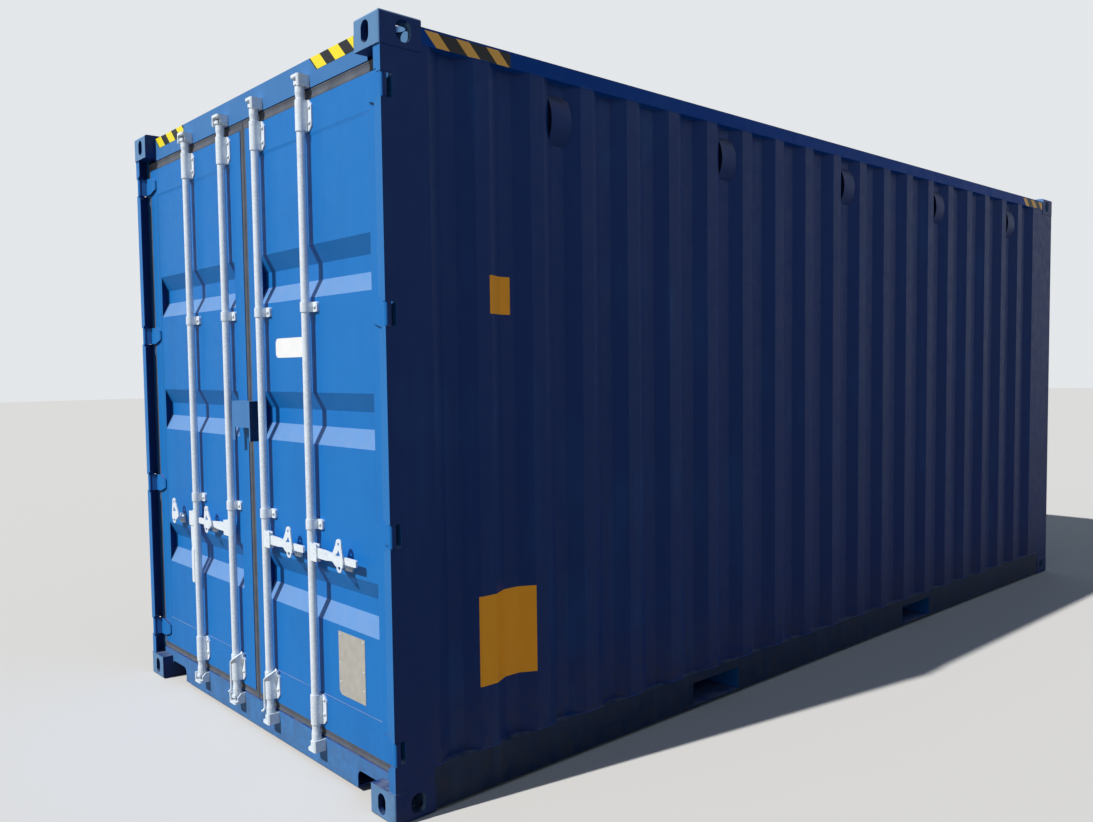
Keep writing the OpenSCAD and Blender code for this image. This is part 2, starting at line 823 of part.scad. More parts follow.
module leaf_frame() {
  color(paint) {
    upright(centre_gap, free_w);
    upright(leaf_hinge - upright_w, upright_w);
    cross_beam(leaf_z0, low_member);
    cross_beam(leaf_z1 - top_member, top_member);
  }
}

module leaf_panel() {
  x0 = centre_gap + free_w;
  x1 = leaf_hinge - upright_w;
  z0 = leaf_z0 + low_member;
  z1 = leaf_z1 - top_member;
  line = concat([[z0, 0]],
    [for (z = [groove_3, groove_2, groove_1]) for (p = [
      [z - groove_h / 2, 0], [z - groove_flat / 2, groove_d],
      [z + groove_flat / 2, groove_d], [z + groove_h / 2, 0]]) p],
    [[z1, 0]]);
  color(paint) translate([x1, face_y + panel_in, 0]) rotate([0, -90, 0]) linear_extrude(x1 - x0) sheet(line, panel_t);
}

module leaf_gasket() {
  x0 = centre_gap;
  x1 = leaf_hinge;
  y0 = face_y + gasket_in;
  low = sill_z + sill_rise * (gasket_in + gasket_t) / header_d + gasket_gap;
  color(black) translate([0, y0 + gasket_t, 0]) rotate([90, 0, 0]) linear_extrude(gasket_t) difference() {
    translate([2, low]) square([post_in - gasket_gap - 2, header_z - gasket_gap - low]);
    translate([x0, leaf_z0]) square([x1 - x0, leaf_z1 - leaf_z0]);
  }
}

// A blade seen from the front: narrowing to its end, with both corners rounded
module blade_shape() {
  lean = atan((blade_h - blade_end_h) / 2 / blade_taper);
  turn = 90 - lean;
  x = blade_round;
  z = blade_end_h / 2 - blade_round * tan(turn / 2);
  for (s = [-1, 1]) translate([x, s * z]) circle(blade_round);
  polygon([
    [0, z], [0, -z], [x - blade_round * sin(lean), -z - blade_round * cos(lean)],
    [blade_taper, -blade_h / 2], [blade_l + 60, -blade_h / 2],
    [blade_l + 60, blade_h / 2], [blade_taper, blade_h / 2],
    [x - blade_round * sin(lean), z + blade_round * cos(lean)]
  ]);
}

module leaf_blades() {
  color(paint) for (z = hinge_zs) difference() {
    intersection() {
      translate([0, 0, z - blade_h / 2]) linear_extrude(blade_h) union() {
        translate([pin_x, pin_y]) circle(knuckle_r);
        polygon([
          [pin_x - knuckle_r, pin_y], [pin_x, pin_y + knuckle_r], [pin_x - knuckle_r - 8, face_y],
          [pin_x - blade_l, face_y], [pin_x - blade_l, face_y - blade_t / 2],
          [pin_x - blade_l + 14, face_y - blade_t], [pin_x - 2 * knuckle_r, face_y - blade_t]
        ]);
      }
      translate([pin_x - blade_l, face_y + 1, z]) rotate([90, 0, 0])
        linear_extrude(end_recess) blade_shape();
    }
    translate([pin_x, pin_y, z - blade_h]) cylinder(h = 2 * blade_h, r = pin_r + pin_gap);
  }
}

// Bearing whose foot reaches back to the sheet where it sits lower than the members
module bearing(x, z, h, w, cut, back) {
  translate([x, 0, z]) difference() {
    linear_extrude(h) difference() {
      union() {
        translate([-w / 2, face_y - foot_t]) square([w, foot_t + back]);
        translate([-shell_r, bar_y]) square([2 * shell_r, bar_off]);
        translate([0, bar_y]) circle(shell_r);
      }
      translate([0, bar_y]) circle(bar_r + bar_gap);
      translate([-bar_r - bar_gap, bar_y]) square([2 * (bar_r + bar_gap), bar_off - foot_t]);
    }
    for (s = [0, 1]) mirror([s, 0, 0]) for (q = [0, 1])
      translate([w / 2, face_y + back + 1, q * h]) rotate([90, 45, 0])
        translate([-cut / 2, -cut / 2, 0]) linear_extrude(foot_t + back + 2) square([cut, cut]);
  }
}

module leaf_bearings() {
  color(zinc) for (x = [bar_in, bar_out]) {
    bearing(x, leaf_z1 - long_h - 2, long_h, long_w, 30, 0);
    bearing(x, leaf_z0 + long_low, long_h, long_w, 30, 0);
    bearing(x, short_hi - short_h / 2, short_h, short_w, 8, panel_in);
    bearing(x, short_lo - short_h / 2, short_h, short_w, 8, panel_in);
  }
}

// Seal plate in front of a handle: eye, two legs and a loop under the handle
module catch_outline() {
  difference() {
    union() {
      translate([9, eye_z]) circle(eye_r);
      polygon([
        [9 - eye_r, eye_z], [9 + eye_r, eye_z], [40, 0], [38, -grip_low - 12],
        [-16, -grip_low - 12], [-50, -6], [-44, 12]
      ]);
      translate([11, -grip_low - 14]) circle(loop_r);
    }
    translate([9, eye_z]) circle(eye_hole);
    translate([11, -grip_low - 16]) circle(loop_r / 2);
    polygon([[10, eye_z - 22], [-16, 14], [22, 14]]);
  }
}

module leaf_retainers() {
  y1 = face_y - retainer_t;
  color(zinc) for (x = [bar_in, bar_out]) translate([x + retainer_x, 0, hub_z]) {
    translate([0, catch_y, 0]) rotate([90, 0, 0]) linear_extrude(retainer_t) catch_outline();
    translate([-14, catch_y - retainer_t, -grip_low - handle_gap - 10])
      cube([50, face_y - catch_y + retainer_t, 10]);
    translate([-14, y1, -grip_low - 34]) cube([50, retainer_t + panel_in, base_h]);
  }
}

module data_plate() {
  color(zinc) translate([leaf_hinge - plate_in - plate_w, face_y + panel_in, plate_z]) rotate([90, 0, 0])
    linear_extrude(plate_t) polygon([[0, plate_cut], [plate_cut, 0], [plate_w, 0], [plate_w, plate_h], [0, plate_h]]);
}

module lock_box() {
  y0 = face_y - box_d;
  w = box_left + box_right;
  color(paint) translate([-box_left, y0, box_z - box_h]) difference() {
    cube([w, box_d, box_h]);
    translate([box_t, box_t, -1]) cube([w - 2 * box_t, box_d, box_h - box_t + 1]);
    translate([30, -1, -1]) cube([w - 42, box_t + 2, box_h - box_front + 1]);
    translate([-1, box_t, -1]) cube([box_t + 2, box_d, box_h - box_front + 1]);
  }
}

module door_frame_right() { leaf_frame(); }
module door_panel_right() { leaf_panel(); }
module door_gasket_right() { leaf_gasket(); }
module hinge_blades_right() { leaf_blades(); }
module bar_bearings_right() { leaf_bearings(); }
module handle_retainers_right() { leaf_retainers(); }
module door_frame_left() { mirror([1, 0, 0]) leaf_frame(); }
module door_panel_left() { mirror([1, 0, 0]) leaf_panel(); }
module door_gasket_left() { mirror([1, 0, 0]) leaf_gasket(); }
module hinge_blades_left() { mirror([1, 0, 0]) leaf_blades(); }
module bar_bearings_left() { mirror([1, 0, 0]) leaf_bearings(); }
module handle_retainers_left() { mirror([1, 0, 0]) leaf_retainers(); }

// Cam plate: half a disc towards the front and the nose on its +X side
module cam_plan() {
  intersection() {
    circle(cam_reach);
    polygon([
      [-0.62 * cam_reach, -0.62 * cam_reach], [-cam_reach, -cam_reach], [cam_reach, -cam_reach],
      [cam_reach, 8], [-4, 8]
    ]);
  }
  circle(bar_r);
}

// Bar with its two cams and the hub cheeks, for a handle on its +X side
module locking_bar(x) {
  fork = handle_t + 2 * handle_gap;
  color(zinc) translate([x, 0, 0]) {
    difference() {
      union() {
        translate([0, bar_y, bar_z0]) cylinder(h = bar_z1 - bar_z0, r = bar_r);
        translate([0, bar_y, 0]) {
          for (z = [bar_z0, bar_z1 - cam_h]) translate([0, 0, z]) linear_extrude(cam_h) cam_plan();
          translate([0, 0, bar_z0 + cam_h + 5]) cylinder(h = 24, r = collar_r);
          translate([0, 0, bar_z0 + cam_h + 29]) cylinder(h = 18, r1 = collar_r, r2 = bar_r);
          translate([0, 0, bar_z1 - cam_h - 29]) cylinder(h = 24, r = collar_r);
          translate([0, 0, bar_z1 - cam_h - 47]) cylinder(h = 18, r1 = bar_r, r2 = collar_r);
        }
        for (y = [handle_y - fork / 2 - hub_t, handle_y + fork / 2])
          translate([12, y, hub_z - hub_h / 2]) cube([hub_l - 12, hub_t, hub_h]);
      }
      translate([0, bar_y, bar_z0 - 1]) cylinder(h = bar_z1 - bar_z0 + 2, r = bar_r - bar_t);
    }
    translate([hub_x, handle_y + fork / 2 + hub_t + 1, hub_z]) rotate([90, 0, 0])
      cylinder(h = fork + 2 * hub_t + 2, r = hub_pin);
  }
}

// Handle lying along +X from its pivot
module handle(x, turn) {
  g1 = handle_l * 0.46;
  g2 = handle_l * 0.5;
  r = handle_h / 2;
  t = handle_t / 2;
  color(zinc) translate([x + hub_x, handle_y, hub_z]) rotate([0, turn, 0]) difference() {
    intersection() {
      translate([0, 0, -r]) linear_extrude(2 * r) polygon([
        [-r, -t], [g1, -t], [g2, -t - handle_set], [handle_l, -t - handle_set],
        [handle_l, t - handle_set], [g2, t - handle_set], [g1, t], [-r, t]
      ]);
      rotate([90, 0, 0]) translate([0, 0, -handle_t]) linear_extrude(2 * handle_t) union() {
        circle(r);
        polygon([
          [0, -r], [g1 * 0.6, -r], [g1, -grip_low], [handle_l - 4, -grip_low], [handle_l, -grip_low + 4],
          [handle_l, grip_h - grip_low - 4], [handle_l - 4, grip_h - grip_low], [g2, grip_h - grip_low],
          [g1 * 0.7, r - 2], [g1 * 0.5, r], [0, r]
        ]);
      }
    }
    rotate([90, 0, 0]) translate([0, 0, -handle_t]) cylinder(h = 2 * handle_t, r = hub_pin + handle_gap);
  }
}

module locking_bar_1() { mirror([1, 0, 0]) locking_bar(bar_out); }
module locking_bar_2() { mirror([1, 0, 0]) locking_bar(bar_in); }
module locking_bar_3() { locking_bar(bar_in); }
module locking_bar_4() { locking_bar(bar_out); }
module handle_1() { mirror([1, 0, 0]) handle(bar_out, 90); }
module handle_2() { mirror([1, 0, 0]) handle(bar_in, 0); }
module handle_3() { handle(bar_in, 0); }
module handle_4() { handle(bar_out, 0); }

castings_top();
castings_bottom();
rear_post_left();
rear_post_right();
front_posts();
door_header();
door_sill();
front_top_rail();
front_bottom_rail();
top_side_rails();
bottom_rail_left();
bottom_rail_right();
side_wall_left();
side_wall_right();
front_wall();
roof();
floor_boards();
floor_centre_rail();
cross_members();
fork_pocket_rear();
fork_pocket_front();
header_keepers();
sill_keepers();
hinge_pins();
side_vents();
door_frame_left();
door_panel_left();
door_gasket_left();
hinge_blades_left();
bar_bearings_left();
handle_retainers_left();
lock_box();
door_frame_right();
door_panel_right();
door_gasket_right();
hinge_blades_right();
bar_bearings_right();
handle_retainers_right();
data_plate();
locking_bar_1();
locking_bar_2();
locking_bar_3();
locking_bar_4();
handle_1();
handle_2();
handle_3();
handle_4();
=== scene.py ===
# %% [markdown]
# # A shipping container with its doors shut
#
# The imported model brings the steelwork: castings, posts, rails, corrugated walls, doors and the
# locking gear. This script adds what a model in plain solids leaves out, such as bolts, weld beads,
# door seals, floor sheets and marking film, and then gives every part the finish of the real one.
# All lengths are metres, in the model's own frame: X runs across, Y along and Z up, and the doors
# face -Y.

import json
import math

import bpy
import numpy as np
from mathutils import Matrix, Vector


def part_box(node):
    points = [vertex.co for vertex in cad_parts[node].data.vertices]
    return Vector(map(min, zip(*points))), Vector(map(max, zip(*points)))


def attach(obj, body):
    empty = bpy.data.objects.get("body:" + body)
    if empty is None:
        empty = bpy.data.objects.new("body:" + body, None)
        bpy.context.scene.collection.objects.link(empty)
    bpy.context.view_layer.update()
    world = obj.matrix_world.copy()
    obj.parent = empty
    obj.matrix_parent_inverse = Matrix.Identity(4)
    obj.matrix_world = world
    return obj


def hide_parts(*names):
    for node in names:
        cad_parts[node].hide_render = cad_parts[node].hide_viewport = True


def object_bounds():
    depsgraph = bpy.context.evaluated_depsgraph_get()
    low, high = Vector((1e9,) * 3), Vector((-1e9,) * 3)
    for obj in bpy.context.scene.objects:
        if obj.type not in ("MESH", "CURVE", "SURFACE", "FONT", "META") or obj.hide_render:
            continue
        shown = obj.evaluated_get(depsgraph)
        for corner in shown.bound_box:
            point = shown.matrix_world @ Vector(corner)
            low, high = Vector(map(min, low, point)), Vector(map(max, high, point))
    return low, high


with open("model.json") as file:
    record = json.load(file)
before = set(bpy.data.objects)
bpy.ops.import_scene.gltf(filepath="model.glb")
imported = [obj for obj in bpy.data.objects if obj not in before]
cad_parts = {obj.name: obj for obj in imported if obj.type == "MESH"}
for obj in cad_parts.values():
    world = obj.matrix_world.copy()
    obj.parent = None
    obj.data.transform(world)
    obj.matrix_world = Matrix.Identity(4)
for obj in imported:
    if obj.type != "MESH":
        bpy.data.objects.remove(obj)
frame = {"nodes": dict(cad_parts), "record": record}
nodes = frame["nodes"]
cad_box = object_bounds()
MM = 0.001

# %% [markdown]
# ## The camera
#
# A camera can be placed by eye or worked out from corners whose real places are known. The corners
# of a container are known to the millimetre, so place, direction and focal length come from a
# least-squares fit to them. The small roll and shift are what the fit gave.

# %% Place the camera
IMAGE_WIDTH = 1093
IMAGE_HEIGHT = 822
FOCAL_PIXELS = 938.9
CENTRE_PIXEL = (549.6, 419.8)
CAMERA_PLACE = Vector((4.0480, -4.8160, 1.6477))
CAMERA_LOOK = Vector((-0.74043, 0.66991, -0.05463)).normalized()
CAMERA_ROLL = math.radians(-0.698)

lens = bpy.data.cameras.new("camera")
lens.sensor_width = 36.0
lens.lens = lens.sensor_width * FOCAL_PIXELS / IMAGE_WIDTH
lens.shift_x = -(CENTRE_PIXEL[0] - IMAGE_WIDTH / 2) / IMAGE_WIDTH
lens.shift_y = (CENTRE_PIXEL[1] - IMAGE_HEIGHT / 2) / IMAGE_WIDTH
camera = bpy.data.objects.new("camera", lens)
bpy.context.scene.collection.objects.link(camera)
level = CAMERA_LOOK.to_track_quat("-Z", "Y").to_matrix()
turned = level @ Matrix.Rotation(CAMERA_ROLL, 3, "Z")
camera.matrix_world = Matrix.Translation(CAMERA_PLACE) @ turned.to_4x4()
bpy.context.scene.camera = camera
print("lens:", round(lens.lens, 2), "mm")

# %% [markdown]
# ## Light
#
# Daylight reaches the doors from in front and a little to the left, about 44 degrees high, and
# leaves the long side in open shade. One sun lamp gives the crisp shadows of the locking bars, and
# an even sky fills the shade. Only camera, mirror and glass rays see the pale backdrop.

# %% Set the sun and the sky
SUN_TRAVEL = Vector((0.127, 0.71, -0.69))
SUN_STRENGTH = 3.9
SUN_WIDTH = math.radians(0.9)
SUN_TINT = (1.0, 0.985, 0.97)
SKY_STRENGTH = 0.24
BACKDROP_STRENGTH = 0.92

sun = bpy.data.lights.new("sun", "SUN")
sun.energy = SUN_STRENGTH
sun.angle = SUN_WIDTH
sun.color = SUN_TINT
sun_object = bpy.data.objects.new("sun", sun)
sun_object.rotation_mode = "QUATERNION"
sun_object.rotation_quaternion = SUN_TRAVEL.to_track_quat("-Z", "Y")
bpy.context.scene.collection.objects.link(sun_object)
bpy.context.scene.view_settings.view_transform = "Standard"

# %% [markdown]
# ## Helpers for colours and nodes
#
# Colours are written as sRGB hex values, the way a paint chart gives them, and one function turns
# them into the linear values that the renderer mixes. One more function adds a node, so a material
# reads as a list of nodes from its pattern to its surface.


# %% Colour and node helpers
def colour(hex_value):
    """Linear RGBA of an sRGB hex colour: c / 12.92 below 0.04045, else ((c + 0.055) / 1.055) ^ 2.4."""
    parts = [int(hex_value[i : i + 2], 16) / 255 for i in (1, 3, 5)]
    linear = [c / 12.92 if c <= 0.04045 else ((c + 0.055) / 1.055) ** 2.4 for c in parts]
    return (*linear, 1.0)


def add(tree, kind, inputs=None, **settings):
    """Adds a shader node, sets its properties, and gives its inputs a value or a link."""
    node = tree.nodes.new(kind)
    for name, value in settings.items():
        setattr(node, name, value)
    for key, value in (inputs or {}).items():
        if isinstance(value, bpy.types.NodeSocket):
            tree.links.new(value, node.inputs[key])
        else:
            node.inputs[key].default_value = value
    return node


def per_size(millimetres):
    """Scale of a noise texture whose blotches are about this many millimetres across."""
    return 1000 / millimetres


# %% The sky, seen pale by the camera
SKY_BLUE = "#C9DCF7"
PALE_BACKDROP = "#EDF0F3"

world = bpy.data.worlds.new("sky")
world.use_nodes = True
bpy.context.scene.world = world
tree = world.node_tree
tree.nodes.clear()
path = add(tree, "ShaderNodeLightPath")
direct = path.outputs["Is Camera Ray"]
mirrored = path.outputs["Is Glossy Ray"]
through_glass = path.outputs["Is Transmission Ray"]
seen = add(tree, "ShaderNodeMath", {0: direct, 1: mirrored}, operation="MAXIMUM")
seen = add(tree, "ShaderNodeMath", {0: seen.outputs[0], 1: through_glass}, operation="MAXIMUM")
fill = add(tree, "ShaderNodeBackground", {"Color": colour(SKY_BLUE), "Strength": SKY_STRENGTH})
backdrop = add(tree, "ShaderNodeBackground", {
    "Color": colour(PALE_BACKDROP), "Strength": BACKDROP_STRENGTH})
mixed = add(tree, "ShaderNodeMixShader", {0: seen.outputs[0], 1: fill.outputs[0], 2: backdrop.outputs[0]})
add(tree, "ShaderNodeOutputWorld", {"Surface": mixed.outputs[0]})

# %% [markdown]
# ## The floor
#
# A plain pale floor that only has to hold the shadow. The yard under a container is darker and
# warmer than a studio floor, so the floor is pale to the camera and has the tone of sunlit paving to
# every other ray. It lies a hair under the castings, so the two never share a plane.

# %% Lay the floor
FLOOR_REACH = 60.0
FLOOR_LEVEL = -0.5 * MM
PALE_GREY = "#DCDAD5"
SUNLIT_PAVING = "#A59C8C"

floor_mesh = bpy.data.meshes.new("floor")
signs = ((-1, -1), (1, -1), (1, 1), (-1, 1))
corners = [(x * FLOOR_REACH, y * FLOOR_REACH, FLOOR_LEVEL) for x, y in signs]
floor_mesh.from_pydata(corners, [], [(0, 1, 2, 3)])
floor_object = bpy.data.objects.new("floor", floor_mesh)
bpy.context.scene.collection.objects.link(floor_object)
floor_paint = bpy.data.materials.new("pale_floor")
floor_paint.use_nodes = True
tree = floor_paint.node_tree
tree.nodes.clear()
path = add(tree, "ShaderNodeLightPath")
pale = add(tree, "ShaderNodeBsdfDiffuse", {"Color": colour(PALE_GREY)}).outputs[0]
paving = add(tree, "ShaderNodeBsdfDiffuse", {"Color": colour(SUNLIT_PAVING)}).outputs[0]
floor_look = add(tree, "ShaderNodeMixShader", {0: path.outputs["Is Camera Ray"], 1: paving, 2: pale})
add(tree, "ShaderNodeOutputMaterial", {"Surface": floor_look.outputs[0]})
floor_mesh.materials.append(floor_paint)

# %% [markdown]
# ## Finish 1: sprayed paint on pressed steel
#
# Containers are shot-blasted, primed with zinc and sprayed with a water-based acrylic topcoat. The
# coat is satin, slightly pebbled like orange peel, and never quite even. Light and shade are painted
# into its tone. Faces turned from the sun, such as the long sides, get a dark painted shade tone.
# Faces that point the way the doors face, or up to the sky, get a lighter sunlit tone. The tone
# follows the way a face points on its own piece, so it stays on a door that swings. A ledge low down
# gets more of the painted shade than the roof does. Where the doors' grooves slope up to the sun, a
# pale painted highlight stands for their sheen. Rain leaves faint upright runs, wheels splash dark
# road film on what is near the ground, and pale dust settles on ledges. The pebbling is 1 to 2 mm on
# the real coat, and is drawn at 7 mm or more so that it still shows at the distance of the camera.
#
# One painted tone could be set for each piece by hand. Reading the direction of the face instead
# lets one recipe serve sheet, sections and castings, with only its tones and shares changed.


# %% The sprayed coat
# Painted highlight: the pale sheen on the doors' upward slopes.
SLOPE_HIGHLIGHT = "#A4BFDA"
ROAD_FILM = "#4A4238"
PALE_DUST = "#AEB4B8"
SPLASH_HEIGHT = 0.5
CLEAN_SHARE = 0.012


def sprayed_coat(name, shade_tone, sun_tone, grain_mm, grain_depth, film_share, ledge_share=0.3, gloss=0.2):
    """Tone = shade_tone + (sun_tone - shade_tone) x (how far a face looks to the doors or the sky).

    This is painted light and shade: faces turned from the sun get the shade tone. Noise, a painted
    highlight, road film and dust are mixed over it in turn. film_share is the film's share at ground
    level, ledge_share the dust's share on a level face, and gloss the strength of the satin sheen.
    """
    material = bpy.data.materials.new(name)
    material.use_nodes = True
    tree = material.node_tree
    tree.nodes.clear()
    where = add(tree, "ShaderNodeTexCoord")
    place = where.outputs["Object"]
    height = add(tree, "ShaderNodeSeparateXYZ", {0: place}).outputs["Z"]
    facing = add(tree, "ShaderNodeSeparateXYZ", {0: where.outputs["Normal"]})

    # Painted light: sunlit tone on faces towards the doors, and on level faces the more the higher they lie
    # Faces turned from the sun get the painted shade tone instead.
    to_doors = add(tree, "ShaderNodeMapRange", {
        "Value": facing.outputs["Y"], "From Min": -0.5, "From Max": -0.72}).outputs[0]
    to_sky = add(tree, "ShaderNodeMapRange", {
        "Value": facing.outputs["Z"], "From Min": 0.25, "From Max": 0.8}).outputs[0]
    open_sky = add(tree, "ShaderNodeMapRange", {
        "Value": height, "From Min": 0.2, "From Max": 2.6, "To Min": 0.15}).outputs[0]
    sky_lit_share = add(tree, "ShaderNodeMath", {0: to_sky, 1: open_sky}, operation="MULTIPLY").outputs[0]
    sunlit_share = add(tree, "ShaderNodeMath", {0: to_doors, 1: sky_lit_share}, operation="MAXIMUM").outputs[0]

    # Unevenness: clouds some 420 mm across times upright runs, give or take 9 percent of the tone
    cloud = add(tree, "ShaderNodeTexNoise", {"Vector": place, "Scale": per_size(420), "Detail": 3.0})
    stretch = add(tree, "ShaderNodeMapping", {"Vector": place, "Scale": (14.0, 14.0, 0.7)})
    runs = add(tree, "ShaderNodeTexNoise", {"Vector": stretch.outputs[0], "Scale": 1.0, "Detail": 2.0})
    uneven = add(tree, "ShaderNodeMath", {
        0: cloud.outputs["Fac"], 1: runs.outputs["Fac"]}, operation="MULTIPLY").outputs[0]
    uneven = add(tree, "ShaderNodeMapRange", {
        "Value": uneven, "From Min": 0.12, "From Max": 0.42, "To Min": -0.09, "To Max": 0.09}).outputs[0]
    tone = add(tree, "ShaderNodeMath", {0: sunlit_share, 1: uneven}, operation="ADD", use_clamp=True).outputs[0]
    coat = add(tree, "ShaderNodeMix", {
        0: tone, 6: colour(shade_tone), 7: colour(sun_tone)}, data_type="RGBA").outputs[2]

    # Painted highlight: a pale sheen on the doors' faces that also slope up
    tilted = add(tree, "ShaderNodeMapRange", {
        "Value": facing.outputs["Z"], "From Min": 0.3, "From Max": 0.5, "To Max": 0.4}).outputs[0]
    slope_highlight_share = add(tree, "ShaderNodeMath", {0: tilted, 1: to_doors}, operation="MULTIPLY").outputs[0]
    coat = add(tree, "ShaderNodeMix", {
        0: slope_highlight_share, 6: coat, 7: colour(SLOPE_HIGHLIGHT)}, data_type="RGBA").outputs[2]

    # Dirt: specks some 60 mm across, of road film near the ground and of dust on ledges
    speck = add(tree, "ShaderNodeTexNoise", {
        "Vector": place, "Scale": per_size(60), "Detail": 6.0, "Roughness": 0.7})
    speck = add(tree, "ShaderNodeMapRange", {
        "Value": speck.outputs["Fac"], "From Min": 0.36, "From Max": 0.70}).outputs[0]
    low = add(tree, "ShaderNodeMapRange", {
        "Value": height, "From Max": SPLASH_HEIGHT, "To Min": film_share, "To Max": CLEAN_SHARE}).outputs[0]
    splashed = add(tree, "ShaderNodeMath", {0: low, 1: speck}, operation="MULTIPLY").outputs[0]
    coat = add(tree, "ShaderNodeMix", {
        0: splashed, 6: coat, 7: colour(ROAD_FILM)}, data_type="RGBA").outputs[2]
    ledge = add(tree, "ShaderNodeMath", {0: to_sky, 1: ledge_share}, operation="MULTIPLY").outputs[0]
    settled = add(tree, "ShaderNodeMath", {0: ledge, 1: speck}, operation="MULTIPLY").outputs[0]
    coat = add(tree, "ShaderNodeMix", {
        0: settled, 6: coat, 7: colour(PALE_DUST)}, data_type="RGBA").outputs[2]

    # Surface: rougher where it is dirty, and pebbled all over
    shine = add(tree, "ShaderNodeMapRange", {"Value": speck, "To Min": 0.42, "To Max": 0.56})
    grain = add(tree, "ShaderNodeTexNoise", {"Vector": place, "Scale": per_size(grain_mm), "Detail": 2.0})
    relief = add(tree, "ShaderNodeBump", {
        "Height": grain.outputs["Fac"], "Strength": 0.35, "Distance": grain_depth})
    surface = add(tree, "ShaderNodeBsdfPrincipled", {
        "Base Color": coat,
        "Roughness": shine.outputs[0],
        "Normal": relief.outputs[0],
        "IOR": 1.5,
        "Specular IOR Level": gloss,
    })
    add(tree, "ShaderNodeOutputMaterial", {"Surface": surface.outputs[0]})
    return material


# Painted shade: faces turned from the sun, such as the long sides, take this dark tone.
SHADED_SIDE_BLUE = "#032E70"
SUNLIT_SHEET_BLUE = "#1A73BF"
SUNLIT_SECTION_BLUE = "#457BB5"
sheet_paint = sprayed_coat(
    "acrylic_topcoat_on_sheet", SHADED_SIDE_BLUE, SUNLIT_SHEET_BLUE,
    grain_mm=7, grain_depth=0.25 * MM, film_share=0.15)
wall_paint = sprayed_coat(
    "acrylic_topcoat_on_wall", SHADED_SIDE_BLUE, SUNLIT_SHEET_BLUE,
    grain_mm=7, grain_depth=0.25 * MM, film_share=0.7)

# %% [markdown]
# ## Finish 2: the same paint on other parts
#
# Corner castings are poured in sand, so the coat sits on a grainy skin that scatters light, and
# crane and lorry locks rub dust into it. Posts have a sunlit tone a little paler than sheet. The
# header, the sill and the top rails are rougher and have the palest sunlit tone. Their painted
# shade tone is a stronger blue than the sheet's, for the sky that the top rails see. The bottom
# rails and the lock box have a darker, duller painted shade tone. On the ventilators, the faces
# that look to the doors or the sky are painted nearly black, as the shade in the air slots of
# their cheeks, and the rest have the sheet's painted shade tone.

# %% The coat on castings, posts, sections and ventilators
SECTION_SHADE_BLUE = "#04429E"
RAIL_SHADE_BLUE = "#06284F"
SUNLIT_CASTING_BLUE = "#5E89B5"
SUNLIT_POST_BLUE = "#2C77BD"
VENT_SLOT_SHADE = "#04122B"

cast_paint = sprayed_coat(
    "acrylic_topcoat_on_sand_casting", SHADED_SIDE_BLUE, SUNLIT_CASTING_BLUE,
    grain_mm=9, grain_depth=1.1 * MM, film_share=0.3, ledge_share=0.4)
post_paint = sprayed_coat(
    "acrylic_topcoat_on_post", SHADED_SIDE_BLUE, SUNLIT_POST_BLUE,
    grain_mm=10, grain_depth=0.3 * MM, film_share=0.3, ledge_share=0.35)
section_paint = sprayed_coat(
    "acrylic_topcoat_on_section", SECTION_SHADE_BLUE, SUNLIT_SECTION_BLUE,
    grain_mm=12, grain_depth=0.3 * MM, film_share=0.45, ledge_share=0.35, gloss=0.08)
# Painted shade: the bottom rails and the lock box take a darker shade tone.
rail_paint = sprayed_coat(
    "acrylic_topcoat_on_bottom_rail", RAIL_SHADE_BLUE, SUNLIT_SECTION_BLUE,
    grain_mm=12, grain_depth=0.3 * MM, film_share=0.4, ledge_share=0.35)
# Painted shade: the ventilators' faces towards the doors are near-black for the shade in their slots.
vent_paint = sprayed_coat(
    "acrylic_topcoat_on_ventilator", SHADED_SIDE_BLUE, VENT_SLOT_SHADE,
    grain_mm=7, grain_depth=0.25 * MM, film_share=0.12)

# %% [markdown]
# ## Finish 3: hot-dip galvanising
#
# The locking gear is forged or cut from plate and dipped in molten zinc. It comes out pale, with a
# mottle of zinc crystals some 8 mm across, and weather soon covers it with a matt white crust that
# hides nearly all of the metal's mirror, so the surface is hardly metallic. Bolts are plated instead:
# their zinc is thinner, smoother and a little greyer.


# %% The zinc skin
ROUGHER_CRUST = 0.18


def zinc_skin(name, light, dark, roughness):
    """A dulled metal skin whose tone and roughness follow a crystal pattern of Voronoi cells."""
    material = bpy.data.materials.new(name)
    material.use_nodes = True
    tree = material.node_tree
    tree.nodes.clear()
    place = add(tree, "ShaderNodeTexCoord").outputs["Object"]
    crystal = add(tree, "ShaderNodeTexVoronoi", {"Vector": place, "Scale": per_size(8)})
    haze = add(tree, "ShaderNodeTexNoise", {"Vector": place, "Scale": per_size(70), "Detail": 4.0})
    level = add(tree, "ShaderNodeSeparateColor", {0: crystal.outputs["Color"]})
    both = add(tree, "ShaderNodeMath", {
        0: level.outputs[0], 1: haze.outputs["Fac"]}, operation="MULTIPLY").outputs[0]
    tone = add(tree, "ShaderNodeMix", {0: both, 6: colour(light), 7: colour(dark)}, data_type="RGBA")
    rough = add(tree, "ShaderNodeMapRange", {
        "Value": both, "To Min": roughness, "To Max": roughness + ROUGHER_CRUST})
    relief = add(tree, "ShaderNodeBump", {
        "Height": haze.outputs["Fac"], "Strength": 0.2, "Distance": 0.3 * MM})
    surface = add(tree, "ShaderNodeBsdfPrincipled", {
        "Base Color": tone.outputs[2],
        "Metallic": 0.06,
        "Roughness": rough.outputs[0],
        "Normal": relief.outputs[0],
    })
    add(tree, "ShaderNodeOutputMaterial", {"Surface": surface.outputs[0]})
    return material


zinc = zinc_skin("hot_dip_galvanised_forging", "#E9F3FC", "#C4D0DC", roughness=0.42)
bolt_zinc = zinc_skin("zinc_plated_fastener", "#DEE6ED", "#AEB8C1", roughness=0.36)

